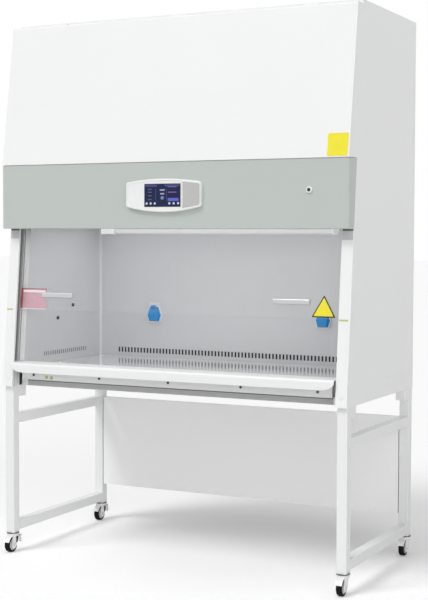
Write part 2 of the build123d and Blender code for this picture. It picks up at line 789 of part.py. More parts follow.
door_foot = fascia_top + door_seam
door_top = cabinet_top - door_drop
door_foot_front = front_y(door_foot) - door_foot_depth
door_top_front = front_y(door_top) - door_top_depth
hinge_spread = half_width - hinge_from_side
hinge_axis_y = roof_front - hinge_ahead
hinge_axis_z = cabinet_top - hinge_drop
fixed_leaf_foot = cabinet_top - fixed_leaf_drop

with BuildPart() as service_door:
    front_pan(door_foot_front, door_foot, door_top_front, door_top, door_gap)
    fillet(service_door.edges().filter_by(Axis.X).group_by(Axis.Z)[-1].sort_by(Axis.Y)[0], door_edge_radius)

with BuildPart() as door_hinge_fixed:
    for middle in (-hinge_spread, 0, hinge_spread):
        for side in (-1, 1):
            inner_end = middle + side * (knuckle_half + knuckle_gap)
            outer_end = middle + side * leaf_half
            low, high = min(inner_end, outer_end), max(inner_end, outer_end)
            block(low, high, roof_front - leaf_thickness, roof_front, fixed_leaf_foot, roof_under)
            with BuildSketch(Plane.YZ.offset(low)) as knuckle:
                with Locations((hinge_axis_y, hinge_axis_z)):
                    Circle(knuckle_radius)
            extrude(knuckle.sketch, amount=high - low)
        with BuildSketch(Plane.YZ.offset(middle - leaf_half)) as pin:
            with Locations((hinge_axis_y, hinge_axis_z)):
                Circle(hinge_pin_radius)
        extrude(pin.sketch, amount=2 * leaf_half)

with BuildPart() as door_hinge_moving:
    for middle in (-hinge_spread, 0, hinge_spread):
        block(
            middle - knuckle_half, middle + knuckle_half,
            hinge_axis_y - leaf_reach, hinge_axis_y, door_top, door_top + leaf_thickness,
        )
        block(
            middle - leaf_half, middle + leaf_half,
            hinge_axis_y - leaf_reach, hinge_axis_y - leaf_sweep, door_top, door_top + leaf_thickness,
        )
        with BuildSketch(Plane.YZ.offset(middle - knuckle_half)) as knuckle:
            with Locations((hinge_axis_y, hinge_axis_z)):
                Circle(knuckle_radius)
        extrude(knuckle.sketch, amount=2 * knuckle_half)
        with BuildSketch(Plane.YZ.offset(middle - knuckle_half)) as bore:
            with Locations((hinge_axis_y, hinge_axis_z)):
                Circle(hinge_pin_radius + hinge_bore_clearance)
        extrude(bore.sketch, amount=2 * knuckle_half, mode=Mode.SUBTRACT)

# ------------------------------------------------------------ column caps
cap_inset = 22.0              # cap's middle from the cabinet's side
cap_rise = 39.0               # above the underside
cap_radius = 10.0
cap_height = 3.0

with BuildPart() as column_caps:
    with BuildSketch(front_plane(0, cabinet_bottom + cap_rise)):
        with GridLocations(2 * (half_width - cap_inset), 1, 2, 1):
            Circle(cap_radius)
    extrude(amount=cap_height)
    fillet(column_caps.faces().group_by(Axis.Y)[0].edges(), cap_height * 0.7)

# ------------------------------------------------------------ sockets
socket_from_side = 287.0      # each socket to the liner's side wall
socket_depth = 12.0
socket_rim = 3.5              # plate around the lid
socket_head = 15.0            # plate above the hinge
socket_corner = 3.0
well_radius = 19.0
well_depth = 8.0
well_drop = 38.0              # well's middle below the hinge
contact_radius = 2.4
contact_spacing = 19.0
lid_axis_rise = 224.0         # hinge axis above the work tray
lid_axis_ahead = 7.0          # and in front of the plate
lid_top_drop = 4.0            # lid's upper edge below the axis
lid_waist_drop = 38.0         # widest place below the axis
lid_foot_drop = 67.0          # lower edge below the axis
lid_top_half = 20.0           # half widths at those three heights
lid_waist_half = 32.0
lid_foot_half = 23.0
lid_depth = 16.0
lid_draft = 22.0              # taper of the lid's sides, degrees
lid_wall = 2.0
lid_gap = 0.3                 # lid to socket plate
lid_round = 1.5
lid_pin_radius = 2.0
lid_knuckle_radius = 3.5
lid_knuckle_half = 13.0
lug_length = 6.0
lug_gap = 0.5

socket_x = liner_inner - socket_from_side
plate_front = liner_rear - socket_depth
lid_axis_y = plate_front - lid_axis_ahead
lid_axis_z = chamber_floor + lid_axis_rise
lid_top = lid_axis_z - lid_top_drop
lid_waist = lid_axis_z - lid_waist_drop
lid_foot = lid_axis_z - lid_foot_drop
well_z = lid_axis_z - well_drop


def lid_round_bar(x_low, length, radius, mode=Mode.ADD):
    """A round bar along a lid's hinge axis."""
    with BuildSketch(Plane.YZ.offset(x_low)) as section:
        with Locations((lid_axis_y, lid_axis_z)):
            Circle(radius)
    extrude(section.sketch, amount=length, mode=mode)


def faceted(middle, top, top_half, grow):
    """Six-sided outline of a socket, widest at its waist."""
    waist = lid_waist_half + grow
    foot = lid_foot_half + grow
    Polygon(
        (middle - top_half - grow, top),
        (middle - waist, lid_waist),
        (middle - foot, lid_foot - grow),
        (middle + foot, lid_foot - grow),
        (middle + waist, lid_waist),
        (middle + top_half + grow, top),
        align=None,
    )


with BuildPart() as socket_bases:
    with BuildSketch(Plane.XZ.offset(-liner_rear)):
        for side in (-1, 1):
            with BuildSketch(mode=Mode.PRIVATE) as plate:
                faceted(side * socket_x, lid_axis_z, lid_top_half, socket_rim)
                with Locations((side * socket_x, lid_axis_z + socket_head / 2)):
                    Rectangle(2 * (lid_top_half + socket_rim), socket_head)
                fillet(plate.vertices().group_by(Axis.Y)[0], socket_corner)
                fillet(plate.vertices().group_by(Axis.Y)[-1], socket_corner)
            add(plate.sketch)
    extrude(amount=socket_depth)
    with BuildSketch(Plane.XZ.offset(-plate_front)):
        with Locations((-socket_x, well_z), (socket_x, well_z)):
            Circle(well_radius)
    extrude(amount=-well_depth, mode=Mode.SUBTRACT)
    with BuildSketch(Plane.XZ.offset(-plate_front - well_depth)):
        for side in (-1, 1):
            with Locations((side * socket_x, well_z)):
                with GridLocations(contact_spacing, 1, 2, 1):
                    Circle(contact_radius)
    extrude(amount=-2.5, mode=Mode.SUBTRACT)
    for side in (-1, 1):
        lid_round_bar(
            side * socket_x - lid_knuckle_half - lug_gap - lug_length,
            2 * (lid_knuckle_half + lug_gap + lug_length), lid_pin_radius,
        )
        for hand in (-1, 1):
            near = side * socket_x + hand * (lid_knuckle_half + lug_gap)
            low = min(near, near + hand * lug_length)
            lid_round_bar(low, lug_length, lid_knuckle_radius)
            block(
                low, low + lug_length, lid_axis_y, plate_front,
                lid_axis_z - lid_knuckle_radius, lid_axis_z + lid_knuckle_radius,
            )


def socket_lid(middle):
    """Hinged splash cover over one socket."""
    with BuildSketch(Plane.XZ.offset(-plate_front + lid_gap)) as face:
        faceted(middle, lid_top, lid_top_half, 0)
    extrude(face.sketch, amount=lid_depth, taper=lid_draft)
    with BuildSketch(Plane.XZ.offset(-plate_front + lid_gap)) as hollow:
        faceted(middle, lid_top, lid_top_half, 0)
        offset(amount=-lid_wall)
    extrude(hollow.sketch, amount=lid_depth - lid_wall, taper=lid_draft, mode=Mode.SUBTRACT)
    block(
        middle - lid_knuckle_half, middle + lid_knuckle_half,
        lid_axis_y - lid_knuckle_radius, lid_axis_y + lid_knuckle_radius,
        lid_top - lid_wall, lid_axis_z,
    )
    lid_round_bar(middle - lid_knuckle_half, 2 * lid_knuckle_half, lid_knuckle_radius)
    lid_round_bar(
        middle - lid_knuckle_half, 2 * lid_knuckle_half,
        lid_pin_radius + hinge_bore_clearance, mode=Mode.SUBTRACT,
    )


with BuildPart() as left_socket_lid:
    socket_lid(-socket_x)
    fillet(left_socket_lid.faces().group_by(Axis.Y)[0].edges(), lid_round)

with BuildPart() as right_socket_lid:
    socket_lid(socket_x)
    fillet(right_socket_lid.faces().group_by(Axis.Y)[0].edges(), lid_round)

# ------------------------------------------------------------ stand
tube = 40.0                   # square tube of the stand
tube_wall = 2.0
tube_corner = 3.0
leg_inset = 2.0               # leg from the cabinet's side
leg_foot = 81.0
pad_height = 45.0             # spacer between leg and cabinet
leg_cap = 3.0                 # plate welded in the leg's foot
front_leg_setback = 24.0      # front legs behind the armrest lip
lower_rail_rise = 8.0         # above the leg's foot
upper_rail_drop = 69.0        # below the leg's top
front_pad_depth = 90.0
rear_pad_depth = 89.0

leg_top = cabinet_bottom - pad_height
front_leg_front = front_lip + front_leg_setback
rear_leg_rear = rear
lower_rail_foot = leg_foot + lower_rail_rise
upper_rail_top = leg_top - upper_rail_drop
leg_outer = half_width - leg_inset
leg_inner = leg_outer - tube
front_leg_rear = front_leg_front + tube
rear_leg_front = rear_leg_rear - tube
leg_middle = (leg_outer + leg_inner) / 2


def leg_pair(y_middle):
    """Two upright square tubes with closed feet."""
    with BuildSketch(Plane.XY.offset(leg_foot)) as outside:
        with Locations((-leg_middle, y_middle), (leg_middle, y_middle)):
            RectangleRounded(tube, tube, tube_corner)
    extrude(outside.sketch, amount=leg_top - leg_foot)
    with BuildSketch(Plane.XY.offset(leg_foot + leg_cap)) as inside:
        with Locations((-leg_middle, y_middle), (leg_middle, y_middle)):
            RectangleRounded(tube - 2 * tube_wall, tube - 2 * tube_wall, tube_corner - tube_wall)
    extrude(inside.sketch, amount=leg_top - leg_foot - leg_cap, mode=Mode.SUBTRACT)


def rail_pair(foot):
    """Two square tubes from front leg to rear leg."""
    for side in (-1, 1):
        with BuildSketch(Plane.XZ.offset(-front_leg_rear)) as outside:
            with Locations((side * leg_middle, foot + tube / 2)):
                RectangleRounded(tube, tube, tube_corner)
        extrude(outside.sketch, amount=front_leg_rear - rear_leg_front)
        with BuildSketch(Plane.XZ.offset(-front_leg_rear)) as inside:
            with Locations((side * leg_middle, foot + tube / 2)):
                RectangleRounded(tube - 2 * tube_wall, tube - 2 * tube_wall, tube_corner - tube_wall)
        extrude(inside.sketch, amount=front_leg_rear - rear_leg_front, mode=Mode.SUBTRACT)


with BuildPart() as front_legs:
    leg_pair(front_leg_front + tube / 2)

with BuildPart() as rear_legs:
    leg_pair(rear_leg_rear - tube / 2)

with BuildPart() as upper_rails:
    rail_pair(upper_rail_top - tube)

with BuildPart() as lower_rails:
    rail_pair(lower_rail_foot)

with BuildPart() as stand_pads:
    for side in (-1, 1):
        low, high = min(side * leg_inner, side * leg_outer), max(side * leg_inner, side * leg_outer)
        block(low, high, front_leg_front, front_leg_front + front_pad_depth, leg_top, cabinet_bottom)
        block(low, high, rear_leg_rear - rear_pad_depth, rear_leg_rear, leg_top, cabinet_bottom)
    fillet(stand_pads.edges().filter_by(Axis.Z), tube_corner)

panel_setback = 4.0           # lower rear panel behind the leg's front face
panel_rise = 89.0             # its foot above the legs' feet
panel_drop = 4.0              # its top below the upper rails
panel_clearance = 4.0         # to each leg
panel_flange = 22.0
panel_sheet = 1.5
tab_behind = 9.0              # fixing tabs behind the panel's face
tab_depth = 8.0
tab_height = 30.0
tab_spacing = 300.0

panel_front = rear_leg_front + panel_setback
panel_foot = leg_foot + panel_rise
panel_top = upper_rail_top - panel_drop
panel_end = leg_inner - panel_clearance

with BuildPart() as stand_back_panel:
    block(-panel_end, panel_end, panel_front, panel_front + panel_sheet, panel_foot, panel_top)
    for low in (panel_foot, panel_top - panel_sheet):
        block(-panel_end, panel_end, panel_front, panel_front + panel_flange, low, low + panel_sheet)
    for side in (-1, 1):
        edge = min(side * panel_end, side * (panel_end - panel_sheet))
        block(edge, edge + panel_sheet, panel_front, panel_front + panel_flange, panel_foot, panel_top)
        for step in (-1, 1):
            tab_middle = (panel_foot + panel_top + step * tab_spacing) / 2
            tab_edge = min(side * (panel_end - panel_sheet), side * leg_inner)
            block(
                tab_edge, tab_edge + panel_sheet + panel_clearance,
                panel_front + tab_behind, panel_front + tab_behind + tab_depth,
                tab_middle - tab_height / 2, tab_middle + tab_height / 2,
            )

# ------------------------------------------------------------ casters
wheel_radius = 32.0
wheel_width = 22.0
tyre_round = 4.0
hub_radius = 23.0
hub_width = 20.0
hub_dish = 3.0                # depth of the hub's dished sides
hub_dish_rim = 3.0            # hub's plain outer ring
hub_boss_radius = 8.0
axle_radius = 4.0
axle_clearance = 0.05
caster_trail = 14.0           # axle ahead of the swivel axis
crown_radius = 24.0
race_radius = 26.0            # swivel race under the leg
race_height = 4.0
race_gap = 0.3                # race to crown
kingpin_radius = 5.0
washer_radius = 9.0
washer_gap = 0.5
washer_height = 2.0
cheek_inner = 13.0            # fork cheeks either side of the wheel
cheek_thickness = 3.0
cheek_boss_radius = 24.0      # cheek around the axle
cheek_boss_offset = 3.0       # its middle ahead of and below the axle
cheek_root = 4.0              # cheek's overlap with the crown
hood_gap = 2.5                # hood to tyre
hood_sheet = 2.5
hood_rise = 13.0              # lower edge of the hood above the axle
hood_overrun = 1.5            # hood past the top of the tyre
hood_lip_radius = 2.0
pedal_pivot_behind = 30.0     # pedal pivot behind the swivel axis
pedal_pivot_rise = 16.0       # and above the axle
pedal_pin_radius = 2.5
pedal_hub_radius = 5.5
pedal_bracket_radius = 6.5
pedal_reach = 14.0            # treads behind the pivot
pedal_rise = 14.0             # treads above and below the pivot
pedal_thickness = 2.2         # half the thickness of a tread
pedal_side_gap = 1.5          # pedal to each cheek

hood_outer = wheel_radius + hood_gap + hood_sheet
hood_lip = wheel_radius + hood_rise
crown_foot = wheel_radius + hood_outer - hood_sheet / 2
pedal_pivot_z = wheel_radius + pedal_pivot_rise
pedal_half_width = cheek_inner - pedal_side_gap
crown_top = leg_foot - race_height - race_gap
washer_top = crown_foot - washer_gap
front_caster_y = front_leg_front + tube / 2
rear_caster_y = rear_leg_rear - tube / 2
caster_middles = (
    (-leg_middle, front_caster_y), (leg_middle, front_caster_y),
    (-leg_middle, rear_caster_y), (leg_middle, rear_caster_y),
)

with BuildPart() as caster_mounts:
    with BuildSketch(Plane.XY.offset(leg_foot)):
        with Locations(*caster_middles):
            Circle(race_radius)
    extrude(amount=-race_height)
    with BuildSketch(Plane.XY.offset(leg_foot)):
        with Locations(*caster_middles):
            Circle(kingpin_radius)
    extrude(amount=washer_top - washer_height - leg_foot)
    with BuildSketch(Plane.XY.offset(washer_top)):
        with Locations(*caster_middles):
            Circle(washer_radius)
    extrude(amount=-washer_height)


def caster_fork(x, y, braked):
    """Swivel fork: crown, hood, two cheeks and the riveted axle."""
    axle_y = y - caster_trail
    outer = cheek_inner + cheek_thickness
    with BuildSketch(Plane.XY.offset(crown_foot)) as crown:
        with Locations((x, y)):
            Circle(crown_radius)
    extrude(crown.sketch, amount=crown_top - crown_foot)
    root = crown_foot + cheek_root / 2
    lip_reach = (hood_outer**2 - hood_rise**2) ** 0.5 - hood_lip_radius
    for side in (-1, 1):
        with BuildSketch(Plane.YZ.offset(x + side * outer)) as cheek:
            with Locations((axle_y - cheek_boss_offset, wheel_radius - cheek_boss_offset)):
                Circle(cheek_boss_radius)
            with Locations((y, root)):
                Rectangle(2 * (crown_radius - cheek_root), cheek_root)
            with Locations((axle_y - lip_reach, hood_lip + hood_lip_radius)):
                Circle(hood_lip_radius)
            if braked:
                with Locations((y + pedal_pivot_behind, pedal_pivot_z)):
                    Circle(pedal_bracket_radius)
            make_hull()
        extrude(cheek.sketch, amount=-side * cheek_thickness)
    with BuildSketch(Plane.YZ.offset(x - cheek_inner)) as hood:
        with Locations((axle_y, wheel_radius)):
            Circle(hood_outer)
            Circle(hood_outer - hood_sheet, mode=Mode.SUBTRACT)
        with Locations((axle_y + hood_overrun - hood_outer / 2, (hood_lip + root) / 2)):
            Rectangle(hood_outer + 2 * hood_overrun, root - hood_lip, mode=Mode.INTERSECT)
    extrude(hood.sketch, amount=2 * cheek_inner)
    with BuildSketch(Plane.YZ.offset(x - outer)) as axle:
        with Locations((axle_y, wheel_radius)):
            Circle(axle_radius)
    extrude(axle.sketch, amount=2 * outer)
    if braked:
        with BuildSketch(Plane.YZ.offset(x - outer)) as pedal_pin:
            with Locations((y + pedal_pivot_behind, pedal_pivot_z)):
                Circle(pedal_pin_radius)
        extrude(pedal_pin.sketch, amount=2 * outer)
    with BuildSketch(Plane.XY.offset(crown_foot)) as bore:
        with Locations((x, y)):
            Circle(kingpin_radius + axle_clearance)
    extrude(bore.sketch, amount=crown_top - crown_foot, mode=Mode.SUBTRACT)


def caster_tyre(x, y):
    """Solid tyre of one caster."""
    with BuildSketch(Plane.YZ.offset(x - wheel_width / 2)) as ring:
        with Locations((y - caster_trail, wheel_radius)):
            Circle(wheel_radius)
            Circle(hub_radius, mode=Mode.SUBTRACT)
    extrude(ring.sketch, amount=wheel_width)


def caster_hub(x, y):
    """Dished hub with a bored boss."""
    axle_at = (y - caster_trail, wheel_radius)
    with BuildSketch(Plane.YZ.offset(x - hub_width / 2)) as disc:
        with Locations(axle_at):
            Circle(hub_radius)
    extrude(disc.sketch, amount=hub_width)
    for side in (-1, 1):
        with BuildSketch(Plane.YZ.offset(x + side * hub_width / 2)) as dish:
            with Locations(axle_at):
                Circle(hub_radius - hub_dish_rim)
                Circle(hub_boss_radius, mode=Mode.SUBTRACT)
        extrude(dish.sketch, amount=-side * hub_dish, mode=Mode.SUBTRACT)
    with BuildSketch(Plane.YZ.offset(x - hub_width / 2)) as bore:
        with Locations(axle_at):
            Circle(axle_radius + axle_clearance)
    extrude(bore.sketch, amount=hub_width, mode=Mode.SUBTRACT)


def caster_pedal(x, y):
    """Rocker pedal with an upper and a lower tread."""
    pivot = (y + pedal_pivot_behind, pedal_pivot_z)
    with BuildSketch(Plane.YZ.offset(x - pedal_half_width)) as rocker:
        for way in (-1, 1):
            with BuildSketch(mode=Mode.PRIVATE) as tread:
                with Locations(pivot):
                    Circle(pedal_hub_radius)
                with Locations((pivot[0] + pedal_reach, pivot[1] + way * pedal_rise)):
                    Circle(pedal_thickness)
                make_hull()
            add(tread.sketch)
    extrude(rocker.sketch, amount=2 * pedal_half_width)
    with BuildSketch(Plane.YZ.offset(x - pedal_half_width)) as bore:
        with Locations(pivot):
            Circle(pedal_pin_radius + axle_clearance)
    extrude(bore.sketch, amount=2 * pedal_half_width, mode=Mode.SUBTRACT)


casters = {}
caster_names = ("front_left", "front_right", "rear_left", "rear_right")
for name, (x, y) in zip(caster_names, caster_middles):
    with BuildPart() as fork:
        caster_fork(x, y, braked=x < 0)
    with BuildPart() as tyre:
        caster_tyre(x, y)
        rims = [e for e in tyre.edges().filter_by(GeomType.CIRCLE) if e.radius > hub_radius + 1]
        fillet(rims, tyre_round)
    with BuildPart() as hub:
        caster_hub(x, y)
    casters[f"{name}_fork"] = fork.part
    casters[f"{name}_tyre"] = tyre.part
    casters[f"{name}_hub"] = hub.part
    if x < 0:
        with BuildPart() as pedal:
            caster_pedal(x, y)
        casters[f"{name}_pedal"] = pedal.part

# ------------------------------------------------------------ labels and files
pieces = {
    "right_side_panel": right_side_panel.part,
    "left_side_panel": left_side_panel.part,
    "roof_panel": roof_panel.part,
    "rear_panel": rear_panel.part,
    "power_inlet": power_inlet.part,
    "right_guide": right_guide.part,
    "left_guide": left_guide.part,
    "base_pan": base_pan.part,
    "front_beam": front_beam.part,
    "beam_screws": beam_screws.part,
    "armrest": armrest.part,
    "right_inner_wall": right_inner_wall.part,
    "left_inner_wall": left_inner_wall.part,
    "inner_back_wall": inner_back_wall.part,
    "service_plugs": service_plugs.part,
    "ceiling_diffuser": ceiling_diffuser.part,
    "tray_rails": tray_rails.part,
    "corner_coves": corner_coves.part,
    "front_grille": front_grille.part,
    "work_tray": work_tray.part,
    "lamp_batten": lamp_batten.part,
    "lamp_tube": lamp_tube.part,
    "plenum_housing": plenum_housing.part,
    "exhaust_filter": exhaust_filter.part,
    "exhaust_guard": exhaust_guard.part,
    "control_fascia": control_fascia.part,
    "test_port": test_port.part,
    "control_pod": control_pod.part,
    "pod_screen": pod_screen.part,
    "sash_glass": sash_glass.part,
    "sash_handles": sash_handles.part,
    "handle_posts": handle_posts.part,
    "service_door": service_door.part,
    "door_hinge_fixed": door_hinge_fixed.part,
    "door_hinge_moving": door_hinge_moving.part,
    "column_caps": column_caps.part,
    "socket_bases": socket_bases.part,
    "left_socket_lid": left_socket_lid.part,
    "right_socket_lid": right_socket_lid.part,
    "front_legs": front_legs.part,
    "rear_legs": rear_legs.part,
    "upper_rails": upper_rails.part,
    "lower_rails": lower_rails.part,
    "stand_pads": stand_pads.part,
    "stand_back_panel": stand_back_panel.part,
    "caster_mounts": caster_mounts.part,
    **casters,
}

for name, piece in pieces.items():
    piece.label = name
    export_step(piece, f"parts/{name}.step")
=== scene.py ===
import bpy
import bmesh
from math import atan, cos, pi, radians, sin
from mathutils import Matrix, Vector


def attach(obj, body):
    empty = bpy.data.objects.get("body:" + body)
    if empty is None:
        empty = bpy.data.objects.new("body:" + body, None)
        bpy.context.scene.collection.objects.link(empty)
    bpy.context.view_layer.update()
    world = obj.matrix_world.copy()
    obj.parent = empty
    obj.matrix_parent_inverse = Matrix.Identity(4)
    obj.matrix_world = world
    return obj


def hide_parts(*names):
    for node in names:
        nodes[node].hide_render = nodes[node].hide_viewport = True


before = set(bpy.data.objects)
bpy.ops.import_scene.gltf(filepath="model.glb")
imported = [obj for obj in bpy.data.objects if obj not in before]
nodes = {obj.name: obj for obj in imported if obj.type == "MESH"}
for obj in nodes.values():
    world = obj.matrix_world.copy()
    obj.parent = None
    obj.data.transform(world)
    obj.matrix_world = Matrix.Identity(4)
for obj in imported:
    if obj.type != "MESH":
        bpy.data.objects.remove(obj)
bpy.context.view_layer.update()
bpy.context.scene.view_settings.view_transform = "Standard"
print("frame loaded:", len(nodes), "nodes")

# camera, light and floor

viewPoint = {
    "place": (2.4514, -4.7861, 1.3077),
    "yaw": 26.825,            # degrees to the left of straight ahead
    "pitch": -2.827,
    "roll": 0.156,
    "lens": 111.24,           # mm
    "sensorWidth": 36,        # mm
    "farthest": 200,
}
studio = {
    "skyLight": 0.41,         # even light from all round
    "keyTurn": (38, 0, -26),  # degrees
    "keyStrength": 1.38,
    "keySpread": 24,          # degrees, soft edge of the key's shadow
    "fillTurn": (72, 0, 46),
    "fillStrength": 0.98,
    "fillSpread": 60,
    "floorColour": (0.88, 0.88, 0.88, 1),
    "floorSize": 60,
    "shadeMiddle": (0.1, 0.25, 0.0),  # painted shade: the floor is a little darker round this point
    "shadeReach": (0.35, 0.95),
    "shadeLift": (0.06, 0.20),        # added for the camera at either end of that reach; the smaller lift near the middle paints a shadow round the object
}
chamberLight = {"place": (0.0, 0.0, 1.345), "size": (1.25, 0.42), "power": 1.7}
white = (1, 1, 1, 1)
black = (0, 0, 0, 1)


def axes(across, up, out):    # matrix that turns X, Y and Z to these directions
    return Matrix((across, up, out)).transposed().to_4x4()


def makeCamera(spec):
    yaw, pitch, roll = (radians(spec[key]) for key in ("yaw", "pitch", "roll"))
    ahead = Vector((-sin(yaw) * cos(pitch), cos(yaw) * cos(pitch), sin(pitch)))
    side = ahead.cross(Vector((0, 0, 1))).normalized()
    up = side.cross(ahead)
    side, up = side * cos(roll) + up * sin(roll), up * cos(roll) - side * sin(roll)
    data = bpy.data.cameras.new("camera")
    data.sensor_fit = "HORIZONTAL"
    data.sensor_width = spec["sensorWidth"]
    data.lens = spec["lens"]
    data.clip_end = spec["farthest"]
    camera = bpy.data.objects.new("camera", data)
    bpy.context.scene.collection.objects.link(camera)
    camera.matrix_world = Matrix.Translation(spec["place"]) @ axes(side, up, -ahead)
    bpy.context.scene.camera = camera


class Wire:                   # a socket that takes part in Python expressions
    def __init__(self, finish, socket):
        self.finish = finish
        self.socket = socket

    def __add__(self, other):
        return self.finish.maths("ADD", self, other)

    def __radd__(self, other):
        return self.finish.maths("ADD", other, self)

    def __mul__(self, other):
        return self.finish.maths("MULTIPLY", self, other)

    def __rmul__(self, other):
        return self.finish.maths("MULTIPLY", other, self)


class Finish:                 # a material, or the sky, while it is wired
    def __init__(self, owner):
        self.owner = owner
        owner.use_nodes = True
        self.tree = owner.node_tree
        self.tree.nodes.clear()

    def node(self, kind, settings=None, sockets=None, out=0):
        made = self.tree.nodes.new(kind)
        for key, value in (settings or {}).items():
            setattr(made, key, value)
        for key, value in (sockets or {}).items():
            if isinstance(value, Wire):
                self.tree.links.new(value.socket, made.inputs[key])
            else:
                made.inputs[key].default_value = value
        return Wire(self, made.outputs[out]) if out is not None else None

    def maths(self, operation, first, second=0.0):
        return self.node("ShaderNodeMath", {"operation": operation}, {0: first, 1: second})

    def mixed(self, factor, first, second):
        sockets = {0: factor, 6: first, 7: second}     # the colour sockets of the Mix node
        return self.node("ShaderNodeMix", {"data_type": "RGBA"}, sockets, out=2)

    def tones(self, factor, colour, spread):           # a colour between two of its own tones
        return self.mixed(factor, shade(colour, spread[0]), shade(colour, spread[1]))

    def step(self, value, reach, levels):              # smooth step from one level to the other
        return self.node("ShaderNodeMapRange", {"interpolation_type": "SMOOTHSTEP"}, {
            "Value": value, "From Min": reach[0], "From Max": reach[1], "To Min": levels[0], "To Max": levels[1],
        })

    def about(self, level, noise, spread):             # a number that wanders evenly about its level
        return noise * spread + (level - spread / 2)

    def place(self):
        return self.node("ShaderNodeTexCoord", out="Object")

    def along(self, axis):
        return self.node("ShaderNodeSeparateXYZ", None, {0: self.place()}, out=axis)

    def grain(self, scale, detail=2.0, stretch=(1, 1, 1)):
        at = self.node("ShaderNodeMapping", None, {"Vector": self.place(), "Scale": stretch})
        return self.node("ShaderNodeTexNoise", None, {"Vector": at, "Scale": scale, "Detail": detail})

    def bump(self, height, strength, distance):
        return self.node("ShaderNodeBump", None, {"Height": height, "Strength": strength, "Distance": distance})

    def surface(self, sockets):
        shader = self.node("ShaderNodeBsdfPrincipled", None, sockets)
        self.node("ShaderNodeOutputMaterial", None, {"Surface": shader}, out=None)
        return self.owner


def newFinish(name):
    return Finish(bpy.data.materials.new(name))


def shade(colour, factor):
    return tuple(min(1.0, part * factor) for part in colour[:3]) + (1,)


def makeSky(spec):            # white to the camera, on metal and through glass, dimmer as a light
    sky = Finish(bpy.data.worlds.new("sky"))
    bpy.context.scene.world = sky.owner
    camera = sky.node("ShaderNodeLightPath", out="Is Camera Ray")
    glossy = sky.node("ShaderNodeLightPath", out="Is Glossy Ray")
    through = sky.node("ShaderNodeLightPath", out="Is Transmission Ray")
    seen = sky.maths("MAXIMUM", sky.maths("MAXIMUM", camera, glossy), through)
    level = sky.node("ShaderNodeMapRange", None, {"Value": seen, "To Min": spec["skyLight"], "To Max": 1.0})
    back = sky.node("ShaderNodeBackground", None, {"Color": white, "Strength": level})
    sky.node("ShaderNodeOutputWorld", None, {"Surface": back}, out=None)


def makeSuns(spec):
    for name in ("key", "fill"):
        sun = bpy.data.lights.new(name, "SUN")
        sun.energy = spec[name + "Strength"]
        sun.angle = radians(spec[name + "Spread"])
        lamp = bpy.data.objects.new(name, sun)
        lamp.rotation_euler = [radians(part) for part in spec[name + "Turn"]]
        bpy.context.scene.collection.objects.link(lamp)


def makeFloor(spec):
    finish = newFinish("floorWhite")
    camera = finish.node("ShaderNodeLightPath", out="Is Camera Ray")
    matt = finish.node("ShaderNodeBsdfDiffuse", None, {"Color": spec["floorColour"]})
    sockets = {0: finish.place(), 1: spec["shadeMiddle"]}
    away = finish.node("ShaderNodeVectorMath", {"operation": "DISTANCE"}, sockets, out=1)
    # painted shade: the glow the camera sees is least near the middle, a shadow painted round the object
    lift = finish.step(away, spec["shadeReach"], spec["shadeLift"])
    glow = finish.node("ShaderNodeEmission", None, {"Color": white, "Strength": camera * lift})
    both = finish.node("ShaderNodeAddShader", None, {0: matt, 1: glow})
    finish.node("ShaderNodeOutputMaterial", None, {"Surface": both}, out=None)
    bm = bmesh.new()
    bmesh.ops.create_grid(bm, x_segments=1, y_segments=1, size=spec["floorSize"])
    floor = finishPiece("floor", bm, finish.owner)


def finishPiece(name, bm, material, body=None, smooth=False):
    mesh = bpy.data.meshes.new(name)
    bm.to_mesh(mesh)
    bm.free()
    mesh.materials.append(material)
    for face in mesh.polygons:
        face.use_smooth = smooth
    piece = bpy.data.objects.new(name, mesh)
    bpy.context.scene.collection.objects.link(piece)
    if body:
        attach(piece, body)
    return piece


def makeChamberLight(spec):
    data = bpy.data.lights.new("chamber", "AREA")
    data.shape = "RECTANGLE"
    data.size, data.size_y = spec["size"]
    data.energy = spec["power"]
    light = bpy.data.objects.new("chamber", data)
    light.location = spec["place"]
    light.visible_camera = False
    light.visible_glossy = False
    bpy.context.scene.collection.objects.link(light)


makeCamera(viewPoint)
makeSky(studio)
makeSuns(studio)
makeFloor(studio)
makeChamberLight(chamberLight)
print("camera, light and floor ready")

# finishes

